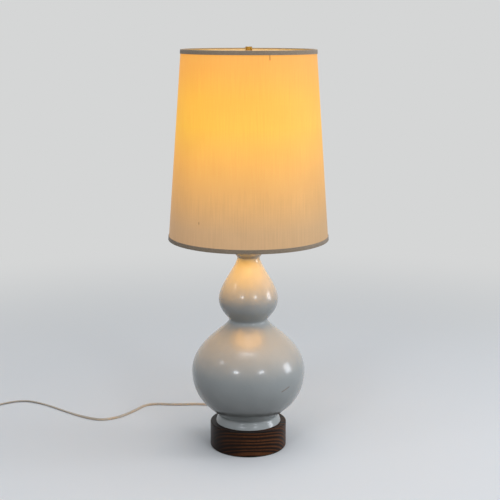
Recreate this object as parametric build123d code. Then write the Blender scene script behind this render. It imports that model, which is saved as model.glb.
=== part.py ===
"""Double gourd table lamp: turned wood base, glazed ceramic body, harp, socket, bulb and drum shade.

Millimetres, +Z up. The origin is on the table, on the lamp's own axis.
X runs to the lamp's right seen from the front, and +Y to its back, where the cord leaves.
"""

import math
import os

from build123d import *

# ------------------------------------------------------------------ fits
RUNNING = 0.05  # radial clearance of one metal part turning or sliding on another
LOOSE = 0.2  # radial clearance of a part that is only threaded over another
SLIVER = 0.1  # gap left between two thin skins or wires that lie on each other
SOFT_GAP = 0.3  # gap between a cord, or a band, and what it lies against

# ------------------------------------------------------------------ base
base_radius = 75.0
base_top = 50.0  # height of the wood's top face above the table
base_edge_round = 1.8
base_foot_round = 1.0
felt_thickness = 1.5
felt_inset = 1.5  # felt edge set in from the wood's edge
recess_radius = 40.0
recess_roof = 18.0  # wood left above the hollow in the underside
cord_height = 10.0  # axis of the cord's hole above the table
bushing_radius = 4.5
bushing_flange_radius = 6.4
bushing_flange = 1.6
bushing_spot_depth = 1.4  # flat cut in the round side of the base for the flange
bushing_length = 16.0

# ------------------------------------------------------------------ rod and its nuts
rod_radius = 4.9
rod_bore_radius = 3.4
rod_chamfer = 0.5
rod_below_nut = 3.5
nut_bevel = 0.8  # how far a nut's corners are turned off
rod_into_socket = 10.5  # rod end above the underside of the socket cap
washer_radius = 16.0
washer_thickness = 1.5
base_nut_flats = 14.3
base_nut_thickness = 5.0
lock_nut_flats = 15.9
lock_nut_thickness = 3.0

# ------------------------------------------------------------------ ceramic double gourd
foot_radius = 64.2
foot_shoulder_radius = 62.4
foot_shoulder = 6.0  # height of the foot ring's straight side above the wood
foot_round = 1.2
foot_flare = 3.0  # height over which the foot turns in to the groove
foot_flare_in = 1.2
foot_hollow_radius = 53.0
foot_hollow = 5.0
groove_radius = 58.8  # where the foot meets the lower gourd
groove_height = 13.9
lower_radius = 110.6
lower_height = 104.3
waist_radius = 37.5
waist_height = 207.9
upper_radius = 57.6
upper_height = 248.9
neck_radius = 21.7
neck_height = 331.0
lip_radius = 27.0
mouth_rise = 12.9  # lip's crest above the neck's narrowest height
# How far each bulge keeps to the vertical before it turns in, below and above its widest height.
groove_fullness = 9.7
lower_fullness_below = 63.6
lower_fullness_above = 56.8
waist_fullness_below = 15.4
waist_fullness_above = 5.2
upper_fullness_below = 22.5
upper_fullness_above = 27.4
neck_fullness_below = 16.9
neck_fullness_above = 1.5
wall = 6.2
floor_thickness = 7.0
lip_flat_radius = 18.0  # inner edge of the flat crest of the lip
lip_flat_width = 6.0
lip_edge_drop = 2.8  # of the lip's widest point below its crest
lip_flare = 5.5  # how far the lip's outer side turns out before its widest point
lip_flare_in = 1.2
lip_crest_round = 1.6
lip_crest_ease = 1.2

# ------------------------------------------------------------------ brass column, gourd to harp
cap_radius = 22.0
cap_hub_radius = 9.0
cap_rise = 9.0
cap_wall = 1.0
column_radius = 6.8
column_collar_radius = 9.4
column_collar = 5.0
column_crown_radius = 8.4
column_crown = 3.5
column_length = 103.1
collar_taper = 2.8  # height over which the collar narrows to the tube
collar_taper_start = 1.6
crown_taper = 1.2
collar_edge_round = 0.6
collar_top_round = 1.4
collar_foot_round = 2.0
crown_foot_round = 1.0
crown_edge_round = 0.8

# ------------------------------------------------------------------ harp and saddle
harp_size = 254.0  # saddle to shade seat, a 10 in harp
harp_wire_radius = 2.0
harp_leg_offset = 33.0
harp_width = 57.0  # wire centre to lamp axis at the widest
harp_leg_spare = 13.0  # straight wire left above a lifted sleeve, and the bend's start
harp_belly_low = 76.0  # heights above the leg's foot where the bow is widest
harp_belly_high = 160.0
harp_shoulder_offset = 35.0
harp_shoulder_drop = 22.0  # of the shoulder below the wires' crossing
harp_leg_bend = 40.0  # bend radii of the wire, from the leg up to the shade seat
harp_belly_bend = 50.0
harp_upper_bend = 60.0
harp_shoulder_bend = 40.0
saddle_width = 12.7
saddle_thickness = 1.6
saddle_arm = 15.0
saddle_bend = 3.0
post_length = 11.0
sleeve_radius = 3.7
sleeve_length = 16.0
sleeve_below_joint = 8.0
sleeve_bead = 0.5
sleeve_bead_length = 2.0
sleeve_edge_round = 0.4
sleeve_bead_round = 0.3
post_sunk = 2.0  # how far a post is set into its saddle arm
sleeve_travel = 10.0  # how far a sleeve lifts to free the harp
seat_radius = 6.5
seat_thickness = 2.2
seat_boss_radius = 4.2
seat_boss = 7.0
stud_radius = 3.1
stud_length = 12.5
stud_chamfer = 0.6

# ------------------------------------------------------------------ socket
socket_cap_radius = 17.2
socket_cap_wall = 0.9
socket_hub_radius = 8.0
socket_hub = 6.5
socket_cap_dome = 9.0
socket_cap_rim = 5.0
socket_hub_chamfer = 0.8
socket_hub_neck = 1.0  # where the hub ends and the dome begins, below the hub's top
socket_dome_lift = 1.6  # how flat the dome starts, outside
socket_dome_lift_inside = 2.8
shell_wall = 0.7
shell_length = 49.5
shell_lap = 4.5  # how far the shell reaches down inside the cap
shell_bead = 0.8
liner_wall = 0.6
liner_end_gap = 1.0
body_radius = 14.5
body_gap = 2.6  # space below the body, where the two leads spread
body_height = 23.0
body_foot_round = 1.2
body_top_round = 0.6
leads_start = 0.4  # where the cord splits, above the shell's lower edge
terminal_flat = 11.5
terminal_height = 7.0
terminal_head_radius = 2.6
terminal_head = 1.6
terminal_shank_radius = 1.4
terminal_shank = 5.0
terminal_flat_spare = 1.5  # flat left above a screw's head
terminal_slot_width = 0.7
terminal_slot_depth = 0.4
thread_shell_radius = 13.9
thread_shell_wall = 0.4
thread_shell_length = 22.0
thread_shell_hole_radius = 6.5
contact_width = 5.0
contact_thickness = 0.5
contact_reach = 5.0
contact_height = 4.2
contact_bend = 1.2
set_screw_radius = 1.6
set_screw_length = 4.2
set_screw_slot = 0.6
switch_height = 12.0  # of the switch's axis above the body's underside
switch_shaft_radius = 2.4
switch_depth = 7.0  # inner end of the shaft from the lamp's axis
knob_start = 20.5
knob_length = 14.0
knob_radius = 6.6
knob_flutes = 12
knob_flute_radius = 1.0
knob_round = 1.0
knob_end_wall = 2.0  # solid end beyond the shaft's bore
switch_slot_gap = 0.6  # round the shaft, in the shell and the liner

# ------------------------------------------------------------------ bulb
bulb_thread_radius = 13.1
bulb_thread_length = 21.0
bulb_thread_wall = 0.5
bulb_thread_pitch = 3.6
bulb_thread_depth = 0.7
bulb_thread_crest = 0.6  # rounding of a ridge
bulb_thread_root = 0.4
bulb_base_taper = 2.4  # how much narrower the base's foot is
bulb_base_foot = 1.0
bulb_tip_radius = 5.2
bulb_tip_height = 3.4
bulb_tip_point = 2.6
bulb_tip_bevel = 1.6
bulb_tip_edge = 0.8
bulb_tip_rim = 1.3  # insulator's overhang inside the base's foot
bulb_tip_sunk = 2.0
bulb_tip_seat = 0.2
bulb_globe_radius = 30.0
bulb_globe_height = 83.0  # of the globe's centre above the bulb's tip
bulb_neck_radius = 12.3
bulb_glass_wall = 0.8
bulb_seating = 3.0  # how deep the glass sits in the base
bulb_neck_fullness = 16.0
bulb_globe_fullness = 24.0
bulb_lip_inside = 0.6
bulb_floor = 2.2
bulb_contact_gap = SOFT_GAP
bulb_shoulder = 0.5  # straight neck above the base's rim
quarter_curve = 0.5523  # handle length of a quarter circle drawn as one curve

# ------------------------------------------------------------------ shade and finial
shade_height = 360.0
shade_rise = 14.0  # shade's top edge above the harp's seat
shade_bottom_radius = 153.4
shade_top_radius = 126.4
fabric_thickness = 0.5
liner_thickness = 0.5
trim_width = 8.0
trim_thickness = 0.6
trim_flap = 1.6  # how far the tape turns down inside the edge, over the wire ring
ring_wire_radius = 1.5
spider_arms = 3
spider_wire_radius = 1.6
spider_washer_radius = 10.0
spider_washer_thickness = 1.6
spider_hole_clearance = 0.5
spider_knee = 13.0  # how far inside the ring the arms start to rise
spider_bend = 10.0
spider_weld = 1.5  # how far an arm runs in under the washer's edge
first_arm_angle = 90.0
finial_radius = 6.35
finial_height = 16.4
finial_bore_depth = 12.9
finial_round = 0.7
finial_groove = 0.5  # depth of the turned step at its foot
finial_step = 1.6
finial_step_taper = 0.6
finial_step_round = 0.3

# ------------------------------------------------------------------ flat twin cord
cord_width = 5.3
cord_thickness = 2.7
cord_web = 1.3  # thickness where the two cores are joined
cord_total = 1800.0  # real length from the base to the plug
inner_bend_radius = 13.0
lead_radius = 0.8
lead_turn = 1.0  # bend where a lead leaves the cord

# The cord's way over the table, chosen by hand: out of the base, down, round to the left and on.
lying = cord_thickness / 2 + 0.05  # the cord rolls a little in its bends
tie_thickness = 0.8
coil_height = tie_thickness + SOFT_GAP + lying  # centre of the lower layer, lifted by the tie under it
cord_exit = base_radius - bushing_spot_depth + bushing_flange
cord_route = [
    (0.0, cord_exit, cord_height),
    (0.0, 103.0, cord_height),
    (0.0, 134.0, lying),
    (-1.0, 160.0, lying),
    (-22.0, 196.0, lying),
    (-60.0, 219.0, lying),
    (-106.0, 228.0, lying),
    (-158.0, 223.0, lying),
    (-221.0, 230.0, lying),
    (-245.0, 184.0, lying),
    (-275.0, 142.0, lying),
    (-310.0, 125.0, lying),
    (-346.0, 141.0, lying),
    (-398.0, 184.0, lying),
    (-449.0, 229.0, lying),
    (-498.0, 253.0, coil_height),
    (-546.0, 227.0, coil_height),
    (-570.0, 188.0, coil_height),
]

# ------------------------------------------------------------------ coil, its tie, and the plug
coil_radius = 35.1  # of the outermost half turn, to the cord's centre
coil_pitch = 5.9  # from one turn to the next, across the coil
coil_layer = 3.7  # from the lower layer of turns to the upper
half_turns_per_layer = 5
coil_tail = 22.0  # straight end of the cord from the last turn to the plug
tie_width = 6.0
tie_edge_gap = 1.0  # room for the turns' curve inside the flat band
tie_corner = 1.2
plug_length = 27.0
plug_width = 22.0
plug_nose_width = 24.0
plug_tail_width = 9.0
plug_tail_thickness = 6.5
plug_tail = 11.0
plug_edge_round = 2.4
plug_waist = 2.0  # how much narrower the grip is at its waist
plug_waist_at = 0.45  # share of the grip's length
plug_tail_slack = 0.4  # how much thinner than the coil the plug is, at the tail, waist and nose
plug_waist_slack = 0.9
plug_nose_slack = 0.1
blade_tip_round = 1.6
blade_spacing = 12.7
blade_length = 16.5
blade_inside = 6.0
blade_thickness = 1.5
blade_width_live = 6.35
blade_width_neutral = 7.9
blade_hole_radius = 1.6
blade_hole_from_tip = 4.0

# ------------------------------------------------------------------ places that follow from the sizes
recess_top = base_top - recess_roof
washer_bottom = recess_top - washer_thickness
nut_bottom = washer_bottom - base_nut_thickness
rod_bottom = nut_bottom - rod_below_nut
lip_top = base_top + neck_height + mouth_rise
cap_top = lip_top + cap_rise
lock_nut_bottom = cap_top + column_length
saddle_bottom = lock_nut_bottom + lock_nut_thickness
socket_bottom = saddle_bottom + saddle_thickness
rod_top = socket_bottom + rod_into_socket
seat_top = saddle_bottom + harp_size
joint_height = saddle_bottom + saddle_arm + post_length  # where a harp leg stands on its post
sleeve_bottom = joint_height - sleeve_below_joint
cap_dome_top = socket_bottom + socket_hub + socket_cap_dome
cap_rim_top = cap_dome_top + socket_cap_rim
shell_radius = socket_cap_radius - socket_cap_wall - SLIVER
shell_bottom = cap_rim_top - shell_lap
shell_top = shell_bottom + shell_length
liner_radius = shell_radius - shell_wall - SLIVER
body_bottom = shell_bottom + body_gap
body_top = body_bottom + body_height
switch_axis = body_bottom + switch_height
terminal_z = body_bottom + terminal_height
bulb_tip = body_top + contact_height + bulb_contact_gap
bulb_thread_bottom = bulb_tip + bulb_tip_height
bulb_thread_top = bulb_thread_bottom + bulb_thread_length
globe_centre = bulb_tip + bulb_globe_height
shade_top = seat_top + shade_rise
shade_bottom = shade_top - shade_height
washer_top = seat_top + spider_washer_thickness
coil_tip_gap = cord_width


def shade_radius(height, inward=0.0):
    """Outer radius of the fabric cone at a height, less a distance inwards."""
    share = (height - shade_bottom) / shade_height
    return shade_bottom_radius + share * (shade_top_radius - shade_bottom_radius) - inward


# ------------------------------------------------------------------ making helpers
def turned(outline):
    """Solid of revolution about the lamp's axis, from a closed outline in (radius, height)."""
    return revolve(Plane.XZ * make_face(outline), Axis.Z)


def turned_corners(points, radii=0.0):
    """Turned solid from straight-sided corners, each rounded by its own radius."""
    if isinstance(radii, float):
        radii = [radii] * len(points)
    return turned(FilletPolyline(*points, radius=radii, close=True))


def tube(outer, inner, bottom, top):
    """Plain ring or tube on the lamp's axis."""
    return turned_corners([(inner, bottom), (outer, bottom), (outer, top), (inner, top)])


def rod_between(start, end, radius):
    """Round bar from one point to another."""
    start, end = Vector(*start), Vector(*end)
    plane = Plane(origin=start, z_dir=end - start)
    return extrude(plane * Circle(radius), (end - start).length)


def hex_nut(flats, hole_radius, bottom, thickness):
    """Hexagon nut on the lamp's axis, with its corners turned off."""
    corner = flats / math.sqrt(3)
    bevel = nut_bevel
    nut = Pos(0, 0, bottom) * extrude(RegularPolygon(corner, 6) - Circle(hole_radius), thickness)
    blank = turned_corners(
        [
            (0, bottom),
            (corner - bevel, bottom),
            (corner, bottom + bevel / 2),
            (corner, bottom + thickness - bevel / 2),
            (corner - bevel, bottom + thickness),
            (0, bottom + thickness),
        ]
    )
    return nut & blank


def corner_radii(points):
    """The largest arc that each corner's two runs allow, 0.45 of the shorter run."""
    radii = []
    for before, here, after in zip(points, points[1:], points[2:]):
        run_in = Vector(*here) - Vector(*before)
        run_out = Vector(*after) - Vector(*here)
        half_turn = math.radians(run_in.get_angle(run_out)) / 2
        radii.append(0.45 * min(run_in.length, run_out.length) / math.tan(half_turn))
    return radii


def twin_section(plane):
    """Two round cores side by side with a web between them, lying along the plane's x."""
    core = cord_thickness / 2
    offset = cord_width / 2 - core
    cores = Pos(offset, 0) * Circle(core) + Pos(-offset, 0) * Circle(core)
    return plane * (cores + Rectangle(2 * offset, cord_web))


def twin_cord(path, across):
    """The flat cord along a path, with its width along the given direction at the start."""
    start = Plane(origin=path @ 0, x_dir=across, z_dir=path % 0)
    return sweep(twin_section(start), path=path)


# ------------------------------------------------------------------ base
def wood_base():
    """Turned disc with a hollow underside, a rod hole, and a cord hole through its back."""
    wood = tube(base_radius, rod_radius + LOOSE, felt_thickness, base_top)
    rims = wood.edges().filter_by(GeomType.CIRCLE).filter_by(lambda e: e.radius > base_radius - 1)
    wood = fillet(rims.sort_by(Axis.Z)[-1], base_edge_round)
    rims = wood.edges().filter_by(GeomType.CIRCLE).filter_by(lambda e: e.radius > base_radius - 1)
    wood = fillet(rims.sort_by(Axis.Z)[0], base_foot_round)
    wood -= tube(recess_radius, 0, 0, recess_top)
    wood -= rod_between((0, 0, cord_height), (0, 2 * base_radius, cord_height), bushing_radius + RUNNING)
    spot = base_radius - bushing_spot_depth
    far = 2 * base_radius
    wood -= rod_between((0, spot, cord_height), (0, far, cord_height), bushing_flange_radius + SLIVER)
    return wood


def base_felt():
    return tube(base_radius - felt_inset, 0, 0, felt_thickness)


def cord_bushing():
    """Flanged plastic bushing in the wood, with a flat slot for the twin cord."""
    spot = base_radius - bushing_spot_depth
    inner = spot - bushing_length
    bushing = rod_between((0, inner, cord_height), (0, spot, cord_height), bushing_radius)
    bushing += rod_between((0, spot, cord_height), (0, cord_exit, cord_height), bushing_flange_radius)
    slot = SlotOverall(cord_width + 2 * SLIVER, cord_thickness + 2 * SLIVER)
    face = Plane(origin=(0, inner, cord_height), x_dir=(1, 0, 0), z_dir=(0, 1, 0)) * slot
    bushing -= extrude(face, cord_exit - inner)
    rim = bushing.edges().filter_by(GeomType.CIRCLE).sort_by(Axis.Y)[-1]
    return fillet(rim, bushing_flange / 3)


def base_washer():
    return tube(washer_radius, rod_radius + LOOSE, washer_bottom, recess_top)


def base_nut():
    return hex_nut(base_nut_flats, rod_radius + RUNNING, nut_bottom, base_nut_thickness)


def threaded_rod():
    rod = tube(rod_radius, rod_bore_radius, rod_bottom, rod_top)
    ends = rod.edges().filter_by(GeomType.CIRCLE).filter_by(lambda e: e.radius > rod_bore_radius + 0.1)
    return chamfer(ends, rod_chamfer)


# ------------------------------------------------------------------ gourd
def gourd_side(inward=0.0):
    """The curved side from the groove above the foot to the neck, as five bulges with upright tangents."""
    stations = [
        (groove_radius, groove_height, 0.0, groove_fullness),
        (lower_radius, lower_height, lower_fullness_below, lower_fullness_above),
        (waist_radius, waist_height, waist_fullness_below, waist_fullness_above),
        (upper_radius, upper_height, upper_fullness_below, upper_fullness_above),
        (neck_radius, neck_height, neck_fullness_below, 0.0),
    ]
    side = Curve()
    for (r0, h0, _, above), (r1, h1, below, _) in zip(stations, stations[1:]):
        low = (r0 - inward, base_top + h0)
        high = (r1 - inward, base_top + h1)
        side += Bezier(low, (low[0], low[1] + above), (high[0], high[1] - below), high)
    return side


def gourd_vase():
    """Thrown hollow body: foot ring, lower gourd, waist, upper gourd, neck and everted lip."""
    foot = base_top
    shoulder = foot + foot_shoulder
    groove = base_top + groove_height
    neck = base_top + neck_height
    inner_groove = groove_radius - wall
    inner_neck = neck_radius - wall
    floor_low = foot + foot_hollow
    floor_high = floor_low + floor_thickness
    rod_hole = rod_radius + LOOSE
    crest_outer = lip_flat_radius + lip_flat_width
    lip_edge = lip_top - lip_edge_drop
    lip_turn = (lip_top - neck) / 2
    outline = Polyline(
        (rod_hole, floor_high),
        (rod_hole, floor_low),
        (foot_hollow_radius, floor_low),
        (foot_hollow_radius, foot),
        (foot_radius - foot_round, foot),
    )
    outline += ThreePointArc(
        (foot_radius - foot_round, foot),
        (foot_radius - 0.3 * foot_round, foot + 0.3 * foot_round),
        (foot_radius, foot + foot_round),
    )
    outline += Line((foot_radius, foot + foot_round), (foot_shoulder_radius, shoulder))
    outline += Bezier(
        (foot_shoulder_radius, shoulder),
        (foot_shoulder_radius - foot_flare_in, shoulder + foot_flare),
        (groove_radius, groove - foot_flare),
        (groove_radius, groove),
    )
    outline += gourd_side()
    outline += Bezier(
        (neck_radius, neck),
        (neck_radius, neck + neck_fullness_above),
        (lip_radius - lip_flare_in, lip_edge - lip_flare),
        (lip_radius, lip_edge),
    )
    outline += Bezier(
        (lip_radius, lip_edge),
        (lip_radius + lip_flare_in * lip_crest_round / lip_flare, lip_edge + lip_crest_round),
        (crest_outer + lip_crest_ease, lip_top),
        (crest_outer, lip_top),
    )
    outline += Line((crest_outer, lip_top), (lip_flat_radius, lip_top))
    outline += Bezier(
        (lip_flat_radius, lip_top),
        (inner_neck, lip_top),
        (inner_neck, neck + lip_turn),
        (inner_neck, neck),
    )
    outline += gourd_side(wall)
    outline += Bezier(
        (inner_groove, groove),
        (inner_groove, floor_high),
        (inner_groove, floor_high),
        (inner_groove - wall, floor_high),
    )
    outline += Line((inner_groove - wall, floor_high), (rod_hole, floor_high))
    return turned(outline)


# ------------------------------------------------------------------ brass column
def vase_cap():
    """Spun brass dome that closes the mouth and carries the column."""
    inner_top = cap_top - cap_wall
    hole = rod_radius + LOOSE
    across = cap_radius - cap_hub_radius
    centre = (cap_hub_radius, lip_top)
    outline = EllipticalCenterArc(centre, across, cap_rise, arc_size=90)
    crown = [(cap_hub_radius, cap_top), (hole, cap_top), (hole, inner_top), (cap_hub_radius, inner_top)]
    outline += Polyline(*crown)
    outline += EllipticalCenterArc(centre, across - cap_wall, cap_rise - cap_wall, arc_size=90)
    outline += Line((cap_radius - cap_wall, lip_top), (cap_radius, lip_top))
    return turned(outline)


def brass_column():
    """Turned tube over the rod, with a collar at its foot and a crown under the lock nut."""
    low, high = cap_top, lock_nut_bottom
    inner = rod_radius + LOOSE
    collar = low + column_collar
    crown = high - column_crown
    points = [
        (inner, low),
        (column_collar_radius, low),
        (column_collar_radius, collar - collar_taper_start),
        (column_radius, collar - collar_taper_start + collar_taper),
        (column_radius, crown - crown_taper),
        (column_crown_radius, crown),
        (column_crown_radius, high),
        (inner, high),
    ]
    crown_rounds = [crown_foot_round, crown_edge_round, collar_edge_round]
    radii = [0.0, collar_edge_round, collar_top_round, collar_foot_round, *crown_rounds, 0.0]
    return turned_corners(points, radii)


def lock_nut():
    return hex_nut(lock_nut_flats, rod_radius + RUNNING, lock_nut_bottom, lock_nut_thickness)


# ------------------------------------------------------------------ harp
def harp_saddle():
    """Flat strip across the rod, bent up at both ends into arms with round posts."""
    outer = harp_leg_offset + saddle_thickness / 2
    low = saddle_bottom
    top = low + saddle_arm
    line = FilletPolyline(
        (-harp_leg_offset, top),
        (-harp_leg_offset, low + saddle_thickness / 2),
        (harp_leg_offset, low + saddle_thickness / 2),
        (harp_leg_offset, top),
        radius=saddle_bend + saddle_thickness / 2,
    )
    strip_face = Plane.XZ * trace(line, saddle_thickness)
    saddle = extrude(strip_face, saddle_width / 2, both=True)
    taper = Plane.YZ * make_face(
        Polyline(
            (-saddle_width / 2, low - 1),
            (saddle_width / 2, low - 1),
            (saddle_width / 2, low + saddle_arm / 2),
            (harp_wire_radius, top),
            (-harp_wire_radius, top),
            (-saddle_width / 2, low + saddle_arm / 2),
            close=True,
        )
    )
    saddle &= extrude(taper, 2 * outer, both=True)
    saddle -= rod_between((0, 0, low - 1), (0, 0, top), rod_radius + LOOSE)
    for side in (-1, 1):
        x = side * harp_leg_offset
        saddle += rod_between((x, 0, top - post_sunk), (x, 0, joint_height), harp_wire_radius)
    return saddle


def harp():
    """Bow of round wire: two straight legs, a wide belly for the bulb, and a threaded shade seat."""
    crossing = seat_top - seat_thickness - seat_boss / 2
    leg_top = sleeve_bottom + sleeve_length + sleeve_travel + harp_leg_spare
    half = [
        (harp_leg_offset, 0, joint_height),
        (harp_leg_offset, 0, leg_top),
        (harp_width, 0, joint_height + harp_belly_low),
        (harp_width, 0, joint_height + harp_belly_high),
        (harp_shoulder_offset, 0, crossing - harp_shoulder_drop),
        (seat_boss_radius - 1, 0, crossing),
    ]
    bends = [harp_leg_bend, harp_belly_bend, harp_upper_bend, harp_shoulder_bend]
    path = FilletPolyline(*half, radius=bends)
    wire = sweep(Plane(origin=half[0], z_dir=(0, 0, 1)) * Circle(harp_wire_radius), path=path)
    bow = wire + mirror(wire, Plane.YZ)
    seat_low = seat_top - seat_thickness
    bow += tube(seat_boss_radius, 0, seat_low - seat_boss, seat_low)
    bow += tube(seat_radius, 0, seat_low, seat_top)
    bow += turned_corners(
        [
            (0, seat_top),
            (stud_radius, seat_top),
            (stud_radius, seat_top + stud_length - stud_chamfer),
            (stud_radius - stud_chamfer, seat_top + stud_length),
            (0, seat_top + stud_length),
        ]
    )
    return bow


def harp_sleeve(side):
    """Ferrule that locks a harp leg to its post and slides up to free it."""
    inner = harp_wire_radius + RUNNING
    top = sleeve_bottom + sleeve_length
    bead = sleeve_bead
    low_bead = sleeve_bottom + sleeve_bead_length
    high_bead = top - sleeve_bead_length
    sleeve = turned_corners(
        [
            (inner, sleeve_bottom),
            (sleeve_radius + bead, sleeve_bottom),
            (sleeve_radius + bead, low_bead),
            (sleeve_radius, low_bead + bead),
            (sleeve_radius, high_bead - bead),
            (sleeve_radius + bead, high_bead),
            (sleeve_radius + bead, top),
            (inner, top),
        ],
        [0.0, sleeve_edge_round, *[sleeve_bead_round] * 4, sleeve_edge_round, 0.0],
    )
    return Pos(side * harp_leg_offset, 0, 0) * sleeve


# ------------------------------------------------------------------ socket
def socket_cap():
    """Domed lower half of the socket, threaded on the rod and held by a set screw."""
    wall_in = socket_cap_wall
    hub_top = socket_bottom + socket_hub
    hole = rod_radius + RUNNING
    across = socket_cap_radius - socket_hub_radius
    outline = Polyline(
        (hole, hub_top),
        (hole, socket_bottom),
        (socket_hub_radius - socket_hub_chamfer, socket_bottom),
        (socket_hub_radius, socket_bottom + socket_hub_chamfer),
        (socket_hub_radius, hub_top - socket_hub_neck),
    )
    outline += Bezier(
        (socket_hub_radius, hub_top - socket_hub_neck),
        (socket_hub_radius + 0.1 * across, hub_top + socket_dome_lift),
        (socket_cap_radius, hub_top + socket_dome_lift),
        (socket_cap_radius, cap_dome_top),
    )
    outline += Polyline(
        (socket_cap_radius, cap_dome_top),
        (socket_cap_radius, cap_rim_top),
        (socket_cap_radius - wall_in, cap_rim_top),
        (socket_cap_radius - wall_in, cap_dome_top),
    )
    outline += Bezier(
        (socket_cap_radius - wall_in, cap_dome_top),
        (socket_cap_radius - wall_in, hub_top + socket_dome_lift_inside),
        (socket_hub_radius + 0.3 * across, hub_top + socket_dome_lift_inside - socket_dome_lift),
        (socket_hub_radius - wall_in, hub_top),
    )
    outline += Line((socket_hub_radius - wall_in, hub_top), (hole, hub_top))
    cap = turned(outline)
    z = socket_bottom + socket_hub / 2
    return cap - rod_between((rod_radius, 0, z), (2 * socket_hub_radius, 0, z), set_screw_radius + RUNNING)


def socket_set_screw():
    z = socket_bottom + socket_hub / 2
    start = rod_radius + SLIVER
    end = start + set_screw_length
    screw = rod_between((start, 0, z), (end, 0, z), set_screw_radius)
    slot = Box(2 * set_screw_slot, 2 * set_screw_radius + 1, set_screw_slot)
    return screw - Pos(end, 0, z) * slot


def switch_slot(reach, radius, bottom):
    """Slot from a sleeve's lower edge up to the switch shaft, on the front."""
    upright = Pos(0, -reach / 2, (bottom + switch_axis) / 2) * Box(2 * radius, reach, switch_axis - bottom)
    return upright + rod_between((0, 0, switch_axis), (0, -reach, switch_axis), radius)


def socket_shell():
    """Thin brass shell with a rolled top edge, slotted for the switch."""
    inner = shell_radius - shell_wall
    bead = shell_bead
    shell = turned_corners(
        [
            (inner, shell_bottom),
            (shell_radius, shell_bottom),
            (shell_radius, shell_top - 3 * bead),
            (shell_radius + bead, shell_top - 2 * bead),
            (shell_radius + bead, shell_top),
            (inner, shell_top),
        ],
        [0.0, 0.0, 0.4, 0.5, 0.7, 0.0],
    )
    return shell - switch_slot(2 * shell_radius, switch_shaft_radius + switch_slot_gap, shell_bottom - 1)


def socket_liner():
    """Card sleeve that insulates the shell from the body."""
    low, high = shell_bottom + liner_end_gap, shell_top - liner_end_gap
    liner = tube(liner_radius, liner_radius - liner_wall, low, high)
    return liner - switch_slot(2 * shell_radius, switch_shaft_radius + switch_slot_gap, shell_bottom)


def socket_body():
    """Moulded body that holds the switch, with a flat each side for a terminal screw."""
    body = turned_corners(
        [(0, body_bottom), (body_radius, body_bottom), (body_radius, body_top), (0, body_top)],
        [0.0, body_foot_round, body_top_round, 0.0],
    )
    flat_height = terminal_height + terminal_head_radius + terminal_flat_spare
    for side in (-1, 1):
        cut = Box(body_radius, 2 * body_radius, flat_height)
        x = side * (terminal_flat + body_radius / 2)
        body -= Pos(x, 0, body_bottom + flat_height / 2) * cut
        start = (side * (terminal_flat - terminal_shank), 0, terminal_z)
        end = (side * 2 * body_radius, 0, terminal_z)
        body -= rod_between(start, end, terminal_shank_radius + RUNNING)
    start = (0, -switch_depth + SLIVER, switch_axis)
    end = (0, -2 * body_radius, switch_axis)
    return body - rod_between(start, end, switch_shaft_radius + RUNNING)


def terminal_screws():
    """One binding screw on each side of the body."""
    screws = []
    for side in (-1, 1):
        seat = side * (terminal_flat + SLIVER)
        inner = side * (terminal_flat - terminal_shank + SLIVER)
        outer = side * (terminal_flat + SLIVER + terminal_head)
        screw = rod_between((inner, 0, terminal_z), (seat, 0, terminal_z), terminal_shank_radius)
        screw += rod_between((seat, 0, terminal_z), (outer, 0, terminal_z), terminal_head_radius)
        slot = Box(2 * terminal_slot_depth, 2 * terminal_head_radius + 1, terminal_slot_width)
        screws.append(screw - Pos(outer, 0, terminal_z) * slot)
    return Compound(screws)


def screw_shell():
    """Thin threaded cup that takes the bulb, open in the middle of its floor for the contact."""
    outer = thread_shell_radius
    inner = outer - thread_shell_wall
    low = body_top
    floor = low + thread_shell_wall
    high = low + thread_shell_length
    return turned_corners(
        [
            (thread_shell_hole_radius, low),
            (outer, low),
            (outer, high),
            (inner, high),
            (inner, floor),
            (thread_shell_hole_radius, floor),
        ],
        [0.0, 0.6, 0.0, 0.0, 0.2, 0.0],
    )


def centre_contact():
    """Sprung brass tongue under the bulb's tip."""
    low = body_top
    line = FilletPolyline(
        (-contact_reach, low + contact_thickness / 2),
        (-contact_reach / 3, low + contact_thickness / 2),
        (contact_reach / 3, low + contact_height - contact_thickness / 2),
        (contact_reach, low + contact_height - contact_thickness / 2),
        radius=contact_bend,
    )
    return extrude(Plane.XZ * trace(line, contact_thickness), contact_width / 2, both=True)


def switch_shaft():
    start = (0, -switch_depth, switch_axis)
    end = (0, -knob_start - knob_length + knob_end_wall, switch_axis)
    return rod_between(start, end, switch_shaft_radius)


def switch_knob():
    """Fluted turn knob, pressed on the switch shaft. It is made upright, then laid on the switch's axis."""
    knob = extrude(Circle(knob_radius), knob_length)
    knob = fillet(knob.edges().filter_by(GeomType.CIRCLE), knob_round)
    flutes = Sketch() + PolarLocations(knob_radius, knob_flutes) * Circle(knob_flute_radius)
    knob -= extrude(flutes, knob_length)
    knob -= extrude(Circle(switch_shaft_radius), knob_length - knob_end_wall)
    shaft = Plane(origin=(0, -knob_start, switch_axis), x_dir=(1, 0, 0), z_dir=(0, -1, 0))
    return shaft.location * knob


# ------------------------------------------------------------------ bulb
def bulb_glass_outline(inward):
    """Side of the pear-shaped glass from its neck to its crown."""
    neck_r = bulb_neck_radius - inward
    globe_r = bulb_globe_radius - inward
    shoulder = bulb_thread_top + bulb_shoulder
    handle = quarter_curve * globe_r
    side = Line((neck_r, bulb_thread_top - bulb_seating + inward), (neck_r, shoulder))
    side += Bezier(
        (neck_r, shoulder),
        (neck_r, shoulder + bulb_neck_fullness),
        (globe_r, globe_centre - bulb_globe_fullness),
        (globe_r, globe_centre),
    )
    side += Bezier(
        (globe_r, globe_centre),
        (globe_r, globe_centre + handle),
        (handle, globe_centre + globe_r),
        (0, globe_centre + globe_r),
    )
    return side


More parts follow.
